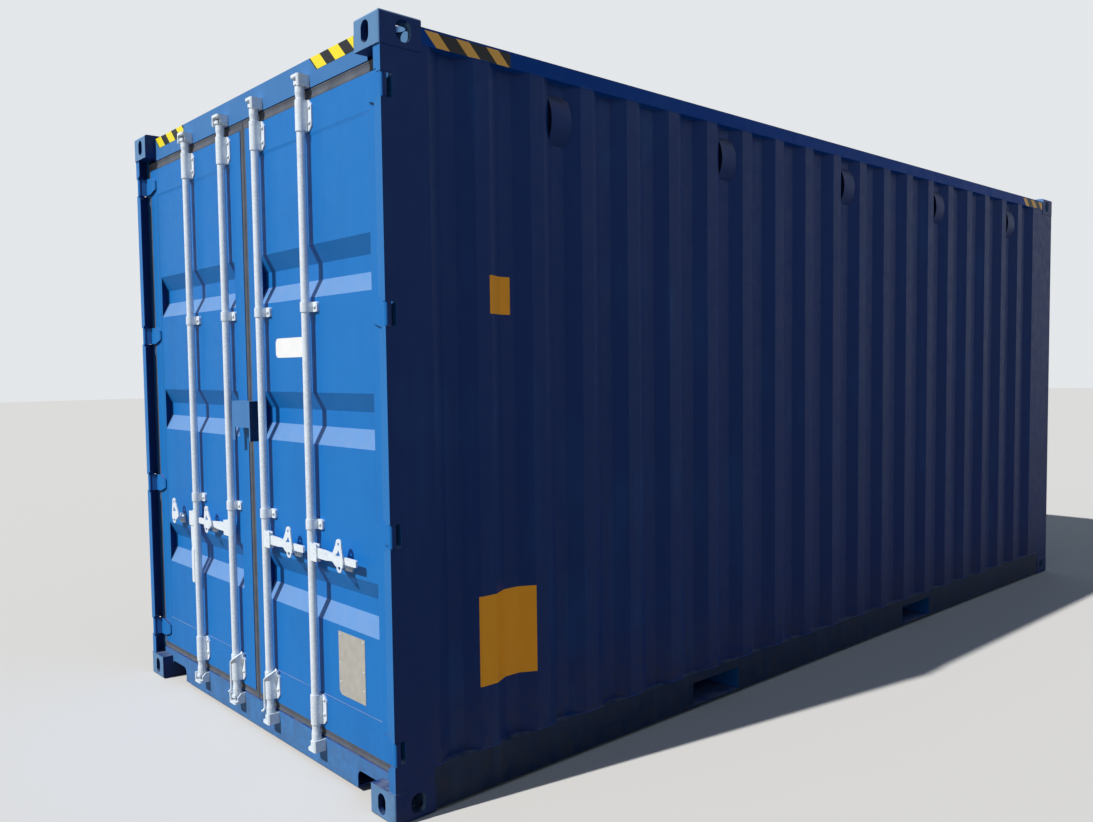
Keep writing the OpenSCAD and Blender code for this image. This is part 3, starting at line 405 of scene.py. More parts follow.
# %% [markdown]
# ## Finish 4: door seals, floor and plate
#
# The seal is extruded EPDM rubber, black when new and grey with chalk and dust in use, so dust is
# mixed over the rubber in clouds. The floor is 19-ply hardwood board, oiled and scuffed, with its
# grain along the container, so its noise is drawn out along Y. The data plate is bare aluminium
# sheet, brushed one way before it was riveted on, and oxide has dulled much of its mirror.


# %% Rubber, plywood and plate
def seal_rubber():
    """Dark rubber under a layer of dust that cloudy noise thins and thickens."""
    material = bpy.data.materials.new("dusty_epdm_rubber")
    material.use_nodes = True
    tree = material.node_tree
    tree.nodes.clear()
    place = add(tree, "ShaderNodeTexCoord").outputs["Object"]
    dust = add(tree, "ShaderNodeTexNoise", {"Vector": place, "Scale": per_size(90), "Detail": 5.0})
    cover = add(tree, "ShaderNodeMapRange", {
        "Value": dust.outputs["Fac"], "From Min": 0.3, "From Max": 0.7})
    tone = add(tree, "ShaderNodeMix", {
        0: cover.outputs[0], 6: colour("#424955"), 7: colour("#585E69")}, data_type="RGBA")
    relief = add(tree, "ShaderNodeBump", {
        "Height": dust.outputs["Fac"], "Strength": 0.2, "Distance": 0.4 * MM})
    surface = add(tree, "ShaderNodeBsdfPrincipled", {
        "Base Color": tone.outputs[2], "Roughness": 0.82, "IOR": 1.52, "Normal": relief.outputs[0]})
    add(tree, "ShaderNodeOutputMaterial", {"Surface": surface.outputs[0]})
    return material


def board_ply():
    """Brown veneer: noise stretched 25 to 1 along Y for the grain, with darker scuffs over it."""
    material = bpy.data.materials.new("oiled_hardwood_plywood")
    material.use_nodes = True
    tree = material.node_tree
    tree.nodes.clear()
    place = add(tree, "ShaderNodeTexCoord").outputs["Object"]
    stretch = add(tree, "ShaderNodeMapping", {"Vector": place, "Scale": (110.0, 4.4, 110.0)})
    grain = add(tree, "ShaderNodeTexNoise", {"Vector": stretch.outputs[0], "Scale": 1.0, "Detail": 5.0})
    veneer = add(tree, "ShaderNodeMix", {
        0: grain.outputs["Fac"], 6: colour("#8A5F3C"), 7: colour("#B98A5E")}, data_type="RGBA")
    scuff = add(tree, "ShaderNodeTexNoise", {"Vector": place, "Scale": per_size(350), "Detail": 6.0})
    worn = add(tree, "ShaderNodeMapRange", {
        "Value": scuff.outputs["Fac"], "From Min": 0.5, "From Max": 0.75, "To Max": 0.6})
    tone = add(tree, "ShaderNodeMix", {
        0: worn.outputs[0], 6: veneer.outputs[2], 7: colour("#5B4636")}, data_type="RGBA")
    relief = add(tree, "ShaderNodeBump", {
        "Height": grain.outputs["Fac"], "Strength": 0.3, "Distance": 0.4 * MM})
    surface = add(tree, "ShaderNodeBsdfPrincipled", {
        "Base Color": tone.outputs[2], "Roughness": 0.62, "IOR": 1.5, "Normal": relief.outputs[0]})
    add(tree, "ShaderNodeOutputMaterial", {"Surface": surface.outputs[0]})
    return material


def bare_plate():
    """Brushed sheet: noise drawn out along X gives the roughness, and 45 mm stains give the tone."""
    material = bpy.data.materials.new("brushed_aluminium_sheet")
    material.use_nodes = True
    tree = material.node_tree
    tree.nodes.clear()
    place = add(tree, "ShaderNodeTexCoord").outputs["Object"]
    stretch = add(tree, "ShaderNodeMapping", {"Vector": place, "Scale": (12.0, 12.0, 700.0)})
    brush = add(tree, "ShaderNodeTexNoise", {"Vector": stretch.outputs[0], "Scale": 1.0, "Detail": 3.0})
    stain = add(tree, "ShaderNodeTexNoise", {"Vector": place, "Scale": per_size(45), "Detail": 4.0})
    tone = add(tree, "ShaderNodeMix", {
        0: stain.outputs["Fac"], 6: colour("#ACACA6"), 7: colour("#D6D4CC")}, data_type="RGBA")
    rough = add(tree, "ShaderNodeMapRange", {"Value": brush.outputs["Fac"], "To Min": 0.38, "To Max": 0.62})
    surface = add(tree, "ShaderNodeBsdfPrincipled", {
        "Base Color": tone.outputs[2], "Metallic": 0.45, "Roughness": rough.outputs[0]})
    add(tree, "ShaderNodeOutputMaterial", {"Surface": surface.outputs[0]})
    return material


rubber = seal_rubber()
plywood = board_ply()
plate_metal = bare_plate()

# %% [markdown]
# ## Finish 5: marking film
#
# Warning bands and blank panels are cast vinyl film, 0.1 mm thick and squeegeed onto the paint. It
# is smooth and evenly coloured, with a light haze where it has weathered. The yellow of the bands on
# the long side is tinted to a warmer straw, which is painted warm light thrown up from the sunlit
# ground, so that film has tones of its own.


# %% Cast vinyl
def cast_vinyl(name, tint, faded):
    """One tint, faded in patches a hand wide, under a smooth satin face."""
    material = bpy.data.materials.new(name)
    material.use_nodes = True
    tree = material.node_tree
    tree.nodes.clear()
    place = add(tree, "ShaderNodeTexCoord").outputs["Object"]
    patch = add(tree, "ShaderNodeTexNoise", {"Vector": place, "Scale": per_size(80), "Detail": 4.0})
    tone = add(tree, "ShaderNodeMix", {
        0: patch.outputs["Fac"], 6: colour(tint), 7: colour(faded)}, data_type="RGBA")
    rough = add(tree, "ShaderNodeMapRange", {"Value": patch.outputs["Fac"], "To Min": 0.34, "To Max": 0.5})
    surface = add(tree, "ShaderNodeBsdfPrincipled", {
        "Base Color": tone.outputs[2], "Roughness": rough.outputs[0], "IOR": 1.5,
        "Specular IOR Level": 0.25})
    add(tree, "ShaderNodeOutputMaterial", {"Surface": surface.outputs[0]})
    return material


yellow_film = cast_vinyl("yellow_vinyl_film", "#F4E326", "#EDDB35")
amber_film = cast_vinyl("amber_vinyl_film", "#FFB322", "#FCAA2C")
# Painted light: the straw tint stands for warm light from the sunlit ground on the shaded side.
warm_lit_film = cast_vinyl("warm_lit_yellow_vinyl_film", "#F6C35C", "#EDB766")
black_film = cast_vinyl("black_vinyl_film", "#0E0F12", "#1B1C20")
white_film = cast_vinyl("white_vinyl_film", "#F4F5F5", "#E6E8EA")

# %% [markdown]
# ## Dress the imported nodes
#
# The steel that came with the model keeps its shape. Each node only swaps its plain colour for the
# finish that its real part has. The slot in the record says what it is made of, and among painted
# nodes the name says how it was made. What no list names is thin sheet.

# %% Give each node its finish
FINISH_OF_SLOT = {"zinc": zinc, "gasket": rubber, "plywood": plywood, "plate": plate_metal}
NODES_OF_FINISH = (
    (cast_paint, ("castings_top", "castings_bottom")),
    (post_paint, ("rear_post_left", "rear_post_right", "front_posts")),
    (section_paint, ("door_header", "door_sill", "top_side_rails")),
    (rail_paint, ("bottom_rail_left", "bottom_rail_right", "lock_box")),
    (wall_paint, ("side_wall_left", "side_wall_right", "front_wall")),
    (vent_paint, ("side_vents",)),
)
finish_of_node = {name: finish for finish, names in NODES_OF_FINISH for name in names}
slot_of_node = {part["node"]: part["material_slot"] for part in frame["record"]["subparts"]}
for name, part in nodes.items():
    finish = FINISH_OF_SLOT.get(slot_of_node[name]) or finish_of_node.get(name, sheet_paint)
    part.data.materials.clear()
    part.data.materials.append(finish)
print("dressed nodes:", len(nodes))

# %% [markdown]
# ## How the new pieces are made
#
# Almost every small piece here is a skin over a stack of closed rings: a bolt head is rings that
# shrink as they rise, a weld bead is small rings along its seam, and a film is flat rings that
# follow the wall. So one function skins a stack of rings, and the pieces only have to say where
# their rings lie.


# %% Skin a stack of rings
def skin(rings, looped=False):
    """Quads join ring i to ring i + 1, and a fan round the mean point closes each end.

    rings has shape (rings, points, 3). looped joins the last ring to the first instead of closing
    the ends. The faces are turned over where the enclosed volume comes out negative.
    """
    rings = np.asarray(rings, float)
    count, size = rings.shape[:2]
    index = np.arange(count * size).reshape(count, size)
    lower = index if looped else index[:-1]
    upper = np.roll(index, -1, axis=0) if looped else index[1:]
    quads = np.stack([lower, np.roll(lower, -1, axis=1), np.roll(upper, -1, axis=1), upper], axis=-1)
    quads = quads.reshape(-1, 4)
    points = rings.reshape(-1, 3)
    faces = quads.tolist()
    if not looped:
        ends = rings[[0, -1]].mean(axis=1)
        points = np.vstack([points, ends])
        first, last = count * size, count * size + 1
        bottom = np.stack([np.roll(index[0], -1), index[0], np.full(size, first)], axis=-1)
        top = np.stack([index[-1], np.roll(index[-1], -1), np.full(size, last)], axis=-1)
        faces = faces + bottom.tolist() + top.tolist()
    a, b, c, d = (points[quads[:, k]] for k in range(4))
    volume = np.einsum("ij,ij->", a, np.cross(b, c)) + np.einsum("ij,ij->", a, np.cross(c, d))
    if not looped:
        for cap in (bottom, top):
            p, q, r = (points[cap[:, k]] for k in range(3))
            volume += np.einsum("ij,ij->", p, np.cross(q, r))
    if volume < 0:
        faces = [face[::-1] for face in faces]
    return points, faces


def piece(name, parts, finish, body, smooth_angle=None):
    """Joins skins of (points, faces) into one object that rides on a body."""
    starts = np.cumsum([0] + [len(points) for points, _ in parts])
    points = np.vstack([p for p, _ in parts])
    faces = [[i + start for i in face] for start, (_, fs) in zip(starts, parts) for face in fs]
    mesh = bpy.data.meshes.new(name)
    mesh.from_pydata(points.tolist(), [], faces)
    mesh.materials.append(finish)
    if smooth_angle is not None:
        mesh.polygons.foreach_set("use_smooth", np.ones(len(mesh.polygons), bool))
        mesh.set_sharp_from_angle(angle=math.radians(smooth_angle))
    mesh.validate()
    made = bpy.data.objects.new(name, mesh)
    bpy.context.scene.collection.objects.link(made)
    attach(made, body)
    print(name, "points:", len(points), "faces:", len(faces))
    return made


# %% [markdown]
# ## Measures taken from the model
#
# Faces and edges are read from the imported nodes, so the pieces stay on the steel. The few places
# that a box can't give, such as the bars' axes, are written here once. Each bar runs in two long
# bearings near its ends and in two short ones between them.

# %% Faces, edges and axes
leaf_low, leaf_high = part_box("door_frame_right")
header_low, header_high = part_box("door_header")
wall_low, wall_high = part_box("side_wall_right")
rail_low, rail_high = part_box("top_side_rails")
panel_low, panel_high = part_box("door_panel_right")
board_low, board_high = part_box("floor_boards")
post_low, post_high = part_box("rear_post_right")

DOOR_FACE = leaf_low.y
PANEL_FACE = panel_low.y
HUB_HEIGHT = 920 * MM
BARS = (-592 * MM, -176 * MM, 176 * MM, 592 * MM)
LONG_BEARINGS = (leaf_high.z - 63 * MM, leaf_low.z + 93 * MM)
SHORT_BEARINGS = (1905 * MM, 1030 * MM)
DOOR_OF_BAR = ("door_left", "door_left", "door_right", "door_right")
SIDE_OF_BAR = (-1, -1, 1, 1)
print("door face:", round(DOOR_FACE, 4), "leaf:", leaf_low, leaf_high)

# %% [markdown]
# ## Bolts in the locking gear
#
# Bearings and handle retainers are held by dome-headed lock bolts, chosen so that nobody can undo
# them from outside. The head is a flattened half sphere on a thin flange, about 20 mm across.


# %% Dome-headed bolts
def dome(centre, radius, height, sides=16):
    """Rings of radius 0.9 r cos t at height (0.2 + 0.8 sin t) h, on a flange of radius r.

    The flange is a fifth of the height h, and the whole faces -Y.
    """
    t = np.linspace(0, math.radians(84), 6)
    ring_radius = np.concatenate([[radius, radius], radius * 0.9 * np.cos(t)])
    ring_height = np.concatenate([[0, 0.2 * height], 0.2 * height + 0.8 * height * np.sin(t)])
    turn = np.linspace(0, 2 * math.pi, sides, endpoint=False)
    x = centre[0] + ring_radius[:, None] * np.cos(turn)
    z = centre[2] + ring_radius[:, None] * np.sin(turn)
    y = centre[1] - np.repeat(ring_height[:, None], sides, axis=1)
    return skin(np.stack([x, y, z], axis=-1))


BOLT_RADIUS = 9 * MM
BOLT_HEIGHT = 7 * MM
LARGE_BOLT_RADIUS = 10.35 * MM
SMALL_BOLT_RADIUS = 7.2 * MM
BEARING_FOOT = 6 * MM
LONG_FOOT_BOLTS = [(dx * MM, dz * MM) for dx in (-36, 36) for dz in (-30, 30)]
SHORT_FOOT_BOLTS = [(-39 * MM, 0), (39 * MM, 0)]
RETAINER_FOOT = 5 * MM
RETAINER_REACH = 253 * MM
RETAINER_BOLTS = [(-14 * MM, -38 * MM), (14 * MM, -38 * MM)]

bolts = {"door_left": [], "door_right": []}
foot_face = DOOR_FACE - BEARING_FOOT
for bar, body, side in zip(BARS, DOOR_OF_BAR, SIDE_OF_BAR):
    for z in LONG_BEARINGS:
        for dx, dz in LONG_FOOT_BOLTS:
            bolts[body].append(dome((bar + dx, foot_face, z + dz), BOLT_RADIUS, BOLT_HEIGHT))
    for z in SHORT_BEARINGS:
        for dx, dz in SHORT_FOOT_BOLTS:
            bolts[body].append(dome((bar + dx, foot_face, z + dz), LARGE_BOLT_RADIUS, BOLT_HEIGHT))
    for dx, dz in RETAINER_BOLTS:
        centre = (bar + side * RETAINER_REACH + dx, DOOR_FACE - RETAINER_FOOT, HUB_HEIGHT + dz)
        bolts[body].append(dome(centre, SMALL_BOLT_RADIUS, BOLT_HEIGHT, sides=12))
for body, made in bolts.items():
    piece("lock_bolts_" + body[5:], made, bolt_zinc, body, smooth_angle=50)

# %% [markdown]
# ## Rivets of the data plate
#
# The plate stays blank. Six blind rivets hold it, three up each side. The lowest two sit higher
# above the edge than the others sit below it, clear of the plate's cut corner.

# %% Plate rivets
RIVET_RADIUS = 4 * MM
RIVET_HEIGHT = 2 * MM
RIVET_INSET = 12 * MM
RIVET_ABOVE_CUT = 52 * MM
plate_low, plate_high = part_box("data_plate")
plate_middle = (plate_low.z + plate_high.z) / 2
rivets = []
for x in (plate_low.x + RIVET_INSET, plate_high.x - RIVET_INSET):
    for z in (plate_low.z + RIVET_ABOVE_CUT, plate_middle, plate_high.z - RIVET_INSET):
        rivets.append(dome((x, plate_low.y, z), RIVET_RADIUS, RIVET_HEIGHT, sides=12))
piece("plate_rivets", rivets, bolt_zinc, "door_right", smooth_angle=50)

# %% [markdown]
# ## Weld beads
#
# A container is welded all over. The beads that show are along the bottom seam of each door panel,
# round the hinge blades, under and over the side walls, and where posts meet castings. A bead is a
# round ridge that ripples as the torch moves on: its radius follows a small sine along its length.


# %% Round section along a path
def tube(points, normals, radii, sides=8):
    """Rings of radius r round each point, in the plane of a normal and of (path direction x normal)."""
    ahead = np.gradient(points, axis=0)
    ahead /= np.linalg.norm(ahead, axis=1, keepdims=True)
    across = np.cross(ahead, normals)
    across /= np.linalg.norm(across, axis=1, keepdims=True)
    rise = np.cross(across, ahead)
    turn = np.linspace(0, 2 * math.pi, sides, endpoint=False)[None, :, None]
    size = np.broadcast_to(radii, len(points))[:, None, None]
    return skin(points[:, None] + size * (across[:, None] * np.cos(turn) + rise[:, None] * np.sin(turn)))


def along(path, spacing):
    """Points at even steps along a line of corners, and their distances from its start."""
    path = np.asarray(path, float)
    reach = np.concatenate([[0], np.cumsum(np.linalg.norm(np.diff(path, axis=0), axis=1))])
    spots = np.linspace(0, reach[-1], max(6, int(reach[-1] / spacing) + 1))
    return np.stack([np.interp(spots, reach, path[:, k]) for k in range(3)], axis=-1), spots


def bead(path, radius, normal, ripple=9 * MM):
    """A tube whose radius is r (1 + 0.14 sin s), where s turns once for every ripple."""
    points, spots = along(path, ripple / 3)
    radii = radius * (1 + 0.14 * np.sin(2 * math.pi * spots / ripple))
    return tube(points, np.broadcast_to(normal, points.shape), radii, sides=6)


# %% Seams on the doors
FOOT_BEAD = 3.36 * MM
FOOT_BEAD_RISE = 1.6 * MM
BLADE_BEAD = 1.92 * MM
OUT = (0.0, -1.0, 0.0)
HINGES = (262 * MM, 1055 * MM, 1848 * MM, 2641 * MM)
BLADE_END = 1061 * MM
BLADE_TAPER = 60 * MM
BLADE_HALF = 42.5 * MM
BLADE_END_HALF = 24 * MM
EASED_CORNER = ((9 * MM, 1 * MM), (3 * MM, -4 * MM), (0, -12 * MM))


def blade_outline(side, z):
    """Path round a blade's free end: level, then narrowing, then across, with the corners eased."""
    upper = [(leaf_high.x, BLADE_HALF), (BLADE_END + BLADE_TAPER, BLADE_HALF)]
    upper += [(BLADE_END + dx, BLADE_END_HALF + dz) for dx, dz in EASED_CORNER]
    path = np.array(upper + [(x, -rise) for x, rise in reversed(upper)])
    return np.stack([side * path[:, 0], np.full(len(path), DOOR_FACE), z + path[:, 1]], axis=-1)


for side, body in ((-1, "door_left"), (1, "door_right")):
    foot_z = panel_low.z + FOOT_BEAD_RISE
    foot = [(side * x, PANEL_FACE, foot_z) for x in (panel_low.x, panel_high.x)]
    seams = [bead(foot, FOOT_BEAD, OUT)]
    for z in HINGES:
        seams.append(bead(blade_outline(side, z), BLADE_BEAD, OUT))
    piece("door_seams_" + body[5:], seams, sheet_paint, body, smooth_angle=60)

# %% [markdown]
# The frame of a leaf stands 4 mm proud of its panel. At the top and the sides, where water could
# lie in the step, a bead of seam sealer is wiped into it and painted over, which makes the step
# almost vanish. The wiped face is a quarter of a sine, steep at the frame and level at the panel.


# %% Sealer in the panel's step
SEALER_WIDTH = 16 * MM
SUNK = 0.2 * MM


def sealer(side):
    """Rings up one side of the panel, over the top and down the other, mitred at the corners.

    In a ring, a point lies w t inwards from the edge at the depth d sin(90 degrees x t), for t from
    0 to 1. The last point closes the ring in the corner of the step, sunk into the steel.
    """
    t = np.linspace(0, 1, 6)
    step = PANEL_FACE - DOOR_FACE
    across = np.append(SEALER_WIDTH * t, 0)
    depth = np.append(step * np.sin(math.pi / 2 * t), step) + SUNK / 4
    depth[-2:] += SUNK
    low_z, high_z = panel_low.z, panel_high.z
    rings = []
    for x, z, inward, down in (
        (panel_low.x, low_z, 1, 0),
        (panel_low.x, high_z, 1, -1),
        (panel_high.x, high_z, -1, -1),
        (panel_high.x, low_z, -1, 0),
    ):
        ring = [side * (x + inward * across), DOOR_FACE + depth, z + down * across]
        rings.append(np.stack(ring, axis=-1))
    return skin(rings)


for side, body in ((-1, "door_left"), (1, "door_right")):
    piece("panel_sealer_" + body[5:], [sealer(side)], sheet_paint, body, smooth_angle=60)

# %% [markdown]
# The wall stands on its bottom rail along the corrugation, so the bead there has to follow the
# folds. The fold line is a trapezoid wave: crest, slope, recess, slope, repeated every 278 mm.

# %% Seams under and over the side walls
WAVE_START = -2858 * MM
WAVE_PITCH = 278 * MM
CREST_HALF = 36 * MM
SLOPE = 68 * MM
WAVE_DEPTH = 36 * MM
WAVES = 20


def fold_depth(y):
    """Depth of the wall face behind the crest plane at y: 0 on a crest, 36 mm in a recess."""
    from_crest = np.abs((np.asarray(y) - WAVE_START + WAVE_PITCH / 2) % WAVE_PITCH - WAVE_PITCH / 2)
    depth = np.clip((from_crest - CREST_HALF) / SLOPE, 0, 1) * WAVE_DEPTH
    last_crest = WAVE_START + WAVES * WAVE_PITCH
    return np.where(np.asarray(y) > last_crest, 0.0, depth)


WALL_BEAD = 2.2 * MM
WALL_RIPPLE = 14 * MM
END_GAP = 4 * MM
UP = (0.0, 0.0, 1.0)
seam_y = np.linspace(wall_low.y + END_GAP, wall_high.y - END_GAP, 1600)
seam_x = wall_high.x - fold_depth(seam_y)
wall_seams = []
for side in (-1, 1):
    for z in (wall_low.z, wall_high.z):
        path = np.stack([side * seam_x, seam_y, np.full_like(seam_y, z)], axis=-1)
        wall_seams.append(bead(path, WALL_BEAD, UP, ripple=WALL_RIPPLE))
piece("wall_seams", wall_seams, section_paint, "frame", smooth_angle=60)

# %% Seams between posts and castings
CASTING_HEIGHT = 118 * MM
CASTING_BEAD = 1.8 * MM
LIP_WIDTH = 44 * MM
post_seams = []
top_z = cad_box[1].z - CASTING_HEIGHT
for side in (-1, 1):
    x_out = side * post_high.x
    for z in (CASTING_HEIGHT, top_z):
        for y0, y1 in ((post_low.y, post_high.y), (-post_low.y, -post_high.y)):
            post_seams.append(bead([(x_out, y0, z), (x_out, y1, z)], CASTING_BEAD, UP))
        lip_end = side * (post_high.x - LIP_WIDTH)
        post_seams.append(bead([(x_out, post_low.y, z), (lip_end, post_low.y, z)], CASTING_BEAD, UP))
piece("casting_seams", post_seams, post_paint, "frame", smooth_angle=60)

# %% [markdown]
# ## Hold-back hooks
#
# A hook of bent round bar is held on the foot of the lowest bearing of each inner bar. It leans
# across the front of the bearing, falls straight down beside it and ends in a short outward bend.
# With the doors folded back, it catches a ring on the side and keeps the wind from slamming them.
# Its path is a falling arc, a straight line and a smaller arc, with the rod skinned along it.


# %% Bend the hooks
ROD_RADIUS = 4.8 * MM
BEARING_TOP = 326 * MM
BAR_LINE = DOOR_FACE - 26 * MM
SHANK_FALLS = (8, 30, 60, 90, 120)
TIP_RADIUS = 18 * MM


def hold_back_hook(bar):
    """Sweep round the bar, straight shank and outward tip, from the pivot down.

    With s from 1 to 0 along the sweep, the angle is -108 + 131 s degrees, the distance from the
    bar's axis 25 + 10 s^2 mm, and the height over the bearing -38 + 46 s mm. The tip is an arc
    of nearly 80 degrees, bent straight away from the bar.
    """
    share = np.linspace(1, 0, 24)
    turn = np.radians(-108 + 131 * share)
    reach = (25 + 10 * share**2) * MM
    level = BEARING_TOP + (-38 + 46 * share) * MM
    lean = np.stack([reach * np.cos(turn), reach * np.sin(turn), level], axis=-1)
    foot_x, foot_y, foot_z = lean[-1]
    shank = [(foot_x, foot_y, foot_z - fall * MM) for fall in SHANK_FALLS]
    bend = np.linspace(0.2, math.radians(80), 8)
    out = 1 + TIP_RADIUS * (1 - np.cos(bend)) / reach[-1]
    tip = np.stack([foot_x * out, foot_y * out, shank[-1][2] - TIP_RADIUS * np.sin(bend)], axis=-1)
    path = np.vstack([lean, shank, tip]) + (bar, BAR_LINE, 0)
    facing = np.concatenate([turn, np.full(len(shank) + len(tip), turn[-1])])
    normals = np.stack([np.cos(facing), np.sin(facing), np.zeros(len(path))], axis=-1)
    return tube(path, normals, ROD_RADIUS)


PIVOT_PLACE = Vector((37 * MM, DOOR_FACE - 14 * MM, BEARING_TOP + 8 * MM))
PIVOT_HEIGHT = 5 * MM
for bar, body in ((BARS[1], "door_left"), (BARS[2], "door_right")):
    pivot = dome(PIVOT_PLACE + Vector((bar, 0, 0)), BOLT_RADIUS, PIVOT_HEIGHT)
    piece("hold_back_hook_" + body[5:], [hold_back_hook(bar), pivot], zinc, body, smooth_angle=60)

# %% [markdown]
# ## Door seals
#
# The seal is an extruded rubber strip fixed round the edge of each leaf, almost level with its
# face. Its outer lip presses on the frame and its middle is hollowed, so light catches two ridges
# with a shadow between. The strip is one profile carried round the leaf, with mitred corners. The
# gap is wider at the top than at the sides, so the profile is stretched to each side's width.


# %% Carry the seal round a leaf
SEAL_ACROSS = np.array([0.0, 0.10, 0.30, 0.50, 0.72, 0.90, 1.0, 1.0, 0.85, 0.45, 0.10, 0.0])
SEAL_DEPTH = np.array([1.5, 0.0, 1.2, 3.2, 2.6, 0.2, 2.0, 14, 20, 26, 29, 29]) * MM


def seal(side, node_name):
    """Point = edge + t (frame - edge) with t across the gap, at the profile's own depth y(t)."""
    low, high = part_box(node_name)
    inner_x = (leaf_low.x, leaf_high.x)
    outer_x = (min(abs(low.x), abs(high.x)), max(abs(low.x), abs(high.x)))
    corners = []
    for i, j in ((0, 0), (1, 0), (1, 1), (0, 1)):
        edge = np.array([inner_x[i], (leaf_low.z, leaf_high.z)[j]])
        far = np.array([outer_x[i], (low.z, high.z)[j]])
        flat = edge + SEAL_ACROSS[:, None] * (far - edge)
        corners.append(np.stack([side * flat[:, 0], low.y + SEAL_DEPTH, flat[:, 1]], axis=-1))
    return skin(corners, looped=True)


for side, name in ((-1, "left"), (1, "right")):
    strip = seal(side, "door_gasket_" + name)
    made = piece("seal_strip_" + name, [strip], rubber, "door_" + name)
    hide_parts("door_gasket_" + name)

# %% [markdown]
# ## Warning bands
#
# High boxes carry a band of slanting yellow and black stripes at the ends of their header and top
# rails. Each stripe is a parallelogram of film that leans back at 45 degrees. The band stands on a
# black strip, and each yellow stripe is a thin slab on it, cut square where the band ends.


# %% Cut the stripes
FILM = 0.35 * MM
LIFT = 0.1 * MM
STRIPE_PITCH = 141 * MM


def film_patch(outline, place):
    """A slab of film: the outline laid on the surface and lifted by the film's thickness.

    place turns (along, up, out) into X, Y and Z.
    """
    outline = np.asarray(outline, float)
    layers = [place(outline[:, 0], outline[:, 1], np.full(len(outline), lift)) for lift in (0.0, FILM)]
    return skin(np.stack(layers))


def clip_right(outline, limit):
    """Cuts a convex outline at along = limit and keeps the part before it."""
    kept = []
    for (a, b), (c, d) in zip(outline, outline[1:] + outline[:1]):
        if a <= limit:
            kept.append((a, b))
        if (a - limit) * (c - limit) < 0:
            share = (limit - a) / (c - a)
            kept.append((limit, b + share * (d - b)))
    return kept


def stripes(end, low, high, first, width):
    """Parallelograms whose top edge lies one height before the bottom edge, every pitch."""
    lean = high - low
    made = []
    for foot in np.arange(first, end + lean, STRIPE_PITCH):
        shape = [(foot, low), (foot + width, low), (foot + width - lean, high), (foot - lean, high)]
        shape = clip_right(shape, end)
        if len(shape) > 2:
            made.append(shape)
    return made


# %% Bands on the door header
def on_header(along, up, out):
    """Along is X, up is Z, and out is away from the header's face, so against Y."""
    return np.stack([along, header_low.y - LIFT - out, up], axis=-1)


def on_header_upper(along, up, out):
    """As on_header, one film higher."""
    return on_header(along, up, out + FILM)


BAND_LOW = 2823 * MM
BAND_HIGH = header_high.z - 0.5 * MM
HEADER_BANDS = ((-1048 * MM, -670 * MM), (636 * MM, 965 * MM))
HEADER_STRIPE = 74 * MM
BLACK_MARGIN = 9 * MM
header_black, header_yellow = [], []
for start, end in HEADER_BANDS:
    lean = BAND_HIGH - BAND_LOW
    edge = start - BLACK_MARGIN
    back = [(edge + lean, BAND_LOW), (end, BAND_LOW), (end, BAND_HIGH), (edge, BAND_HIGH)]
    header_black.append(film_patch(back, on_header))
    for shape in stripes(end, BAND_LOW, BAND_HIGH, start + lean, HEADER_STRIPE):
        header_yellow.append(film_patch(shape, on_header_upper))
piece("header_band_black", header_black, black_film, "frame")
piece("header_band_yellow", header_yellow, yellow_film, "frame")


# %% Bands on the right top rail
def on_rail(along, up, out):
    """Along is Y, up is Z, and out is away from the rail's face, so along X."""
    return np.stack([rail_high.x + LIFT + out, along, up], axis=-1)


def on_rail_upper(along, up, out):
    """As on_rail, one film higher."""
    return on_rail(along, up, out + FILM)


RAIL_BAND_LOW = rail_low.z + 1 * MM
RAIL_BAND_HIGH = rail_high.z - 6 * MM
RAIL_BANDS = ((-2836 * MM, -2434 * MM), (2480 * MM, 2836 * MM))
RAIL_STRIPE = 60 * MM
rail_black, rail_yellow = [], []
for start, end in RAIL_BANDS:
    low, high = RAIL_BAND_LOW, RAIL_BAND_HIGH
    lean = high - low
    back = [(start + lean, low), (end, low), (end, high), (start, high)]
    rail_black.append(film_patch(back, on_rail))
    for shape in stripes(end, low, high, start + lean, RAIL_STRIPE):
        rail_yellow.append(film_patch(shape, on_rail_upper))
piece("rail_band_black", rail_black, black_film, "frame")
piece("rail_band_yellow", rail_yellow, warm_lit_film, "frame")

# %% [markdown]
# ## Blank panels
#
# The amber panels on the long side are left blank, and so is the white label on the right leaf. Film
# on a corrugated wall is pressed into the folds, so each amber panel is a strip of rings along Y
# whose depth follows the fold line. The label lies flat, and its corners are cut round.


# %% Film pressed into the folds
FOLD_STEP = 2 * MM
FOLD_LIFT = 0.15 * MM


def folded_film(y0, y1, z0, z1):
    """Flat rings every 2 mm along Y: x = crest plane - fold depth at y, one film thick."""
    y = np.linspace(y0, y1, int((y1 - y0) / FOLD_STEP))
    x = wall_high.x - fold_depth(y) + FOLD_LIFT
    ring = [(x, z0), (x, z1), (x + FILM, z1), (x + FILM, z0)]
    return skin(np.stack([np.stack([a, y, np.full_like(y, b)], axis=-1) for a, b in ring], axis=1))


LARGE_PANEL = (-2626 * MM, -2337 * MM, 419 * MM, 772 * MM)
SMALL_PANEL = (-2554 * MM, -2426 * MM, 1861 * MM, 2008 * MM)
amber = [folded_film(*span) for span in (LARGE_PANEL, SMALL_PANEL)]
piece("amber_panels", amber, amber_film, "frame")


# %% White label on the right leaf
LABEL_CORNER = 22 * MM
LABEL_X = (262 * MM, 512 * MM)
LABEL_Z = (1707 * MM, 1789 * MM)


def on_door(along, up, out):
    """Along is X, up is Z, and out is away from the panel's face, so against Y."""
    return np.stack([along, PANEL_FACE - LIFT - out, up], axis=-1)


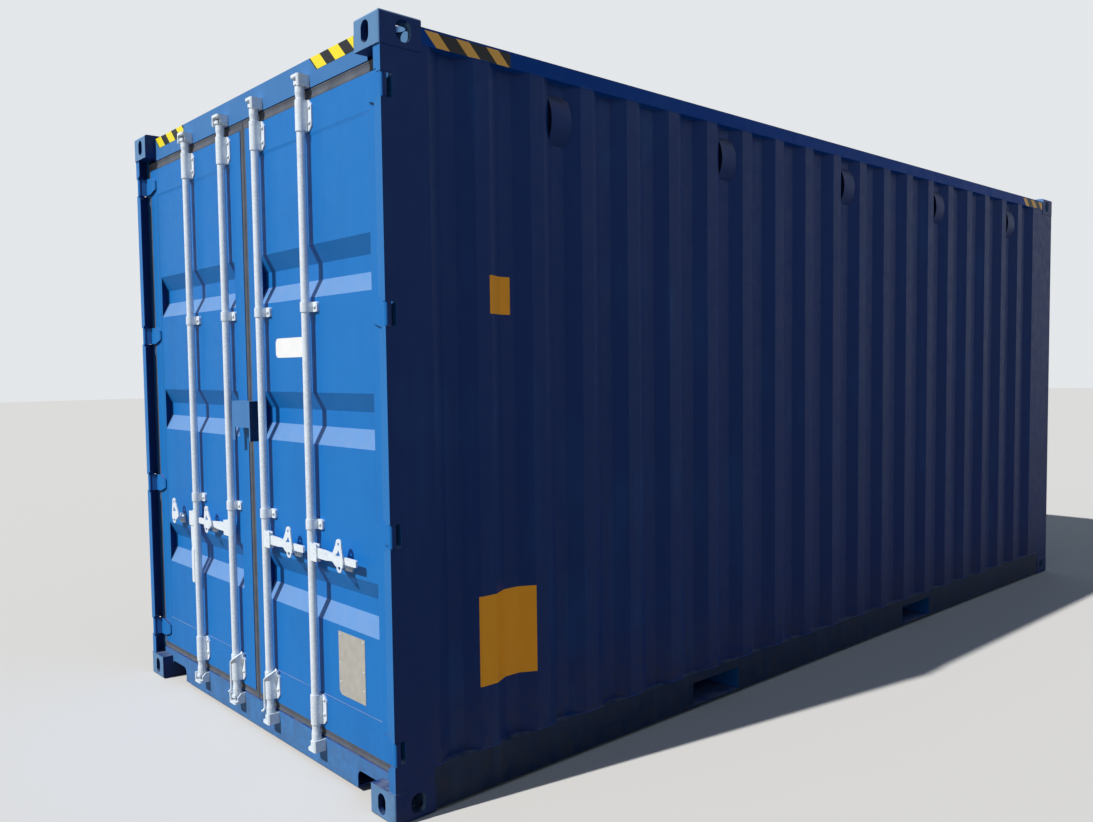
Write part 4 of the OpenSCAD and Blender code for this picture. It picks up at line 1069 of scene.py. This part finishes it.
def rounded(x_span, z_span, radius):
    """Outline of a rectangle: a quarter circle about each corner's own centre, anticlockwise."""
    turn = np.linspace(0, math.pi / 2, 7)
    outline = []
    for i, j, quarter in ((1, 1, 0), (0, 1, 1), (0, 0, 2), (1, 0, 3)):
        centre_x = x_span[i] + (1 - 2 * i) * radius
        centre_z = z_span[j] + (1 - 2 * j) * radius
        angle = turn + quarter * math.pi / 2
        arc = np.stack([centre_x + radius * np.cos(angle), centre_z + radius * np.sin(angle)], axis=-1)
        outline.append(arc)
    return np.vstack(outline)


label = rounded(LABEL_X, LABEL_Z, LABEL_CORNER)
piece("white_label", [film_patch(label, on_door)], white_film, "door_right")

# %% [markdown]
# ## Floor sheets
#
# The floor is plywood sheets with their long sides along the container, on both sides of a steel
# centre rail, with 2 mm joints. The screws that hold them down are too small to show and are left
# out. Each sheet is a bar with chamfered edges, skinned over octagonal rings.


# %% Lay the sheets
def sheet_board(x0, x1, y0, y1, z0, z1, edge=1.2 * MM):
    """A chamfered rectangle in X and Z, carried along Y and drawn in by the chamfer at both ends."""

    def ring(y, inset):
        a0, a1, b0, b1 = x0 + inset, x1 - inset, z0 + inset, z1 - inset
        points = [(a0 + edge, b0), (a1 - edge, b0), (a1, b0 + edge), (a1, b1 - edge),
                  (a1 - edge, b1), (a0 + edge, b1), (a0, b1 - edge), (a0, b0 + edge)]
        return [(x, y, z) for x, z in points]

    return skin([ring(y0, edge), ring(y0 + edge, 0), ring(y1 - edge, 0), ring(y1, edge)])


JOINT = 2 * MM
CENTRE_HALF = 37.5 * MM
SHEETS_ACROSS = 2
SHEETS_ALONG = 3
sheet_edges_x = np.linspace(CENTRE_HALF, board_high.x, SHEETS_ACROSS + 1)
sheet_edges_y = np.linspace(board_low.y, board_high.y, SHEETS_ALONG + 1)
boards = []
for side in (-1, 1):
    for a, b in zip(sheet_edges_x[:-1], sheet_edges_x[1:]):
        for c, d in zip(sheet_edges_y[:-1], sheet_edges_y[1:]):
            x0, x1 = sorted((side * (a + JOINT / 2), side * (b - JOINT / 2)))
            y0, y1 = c + JOINT / 2, d - JOINT / 2
            boards.append(sheet_board(x0, x1, y0, y1, board_low.z, board_high.z))
floor_sheets = piece("floor_sheets", boards, plywood, "frame")
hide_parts("floor_boards")

# %% [markdown]
# ## The size of the imported model
#
# The dressed container may outgrow the imported one by a few millimetres at most, which its hold-back
# hooks do towards the front. Only the box of the imported model is printed.

# %% Print the imported model's box
print("packed:", [round(v, 4) for c in cad_box for v in c])
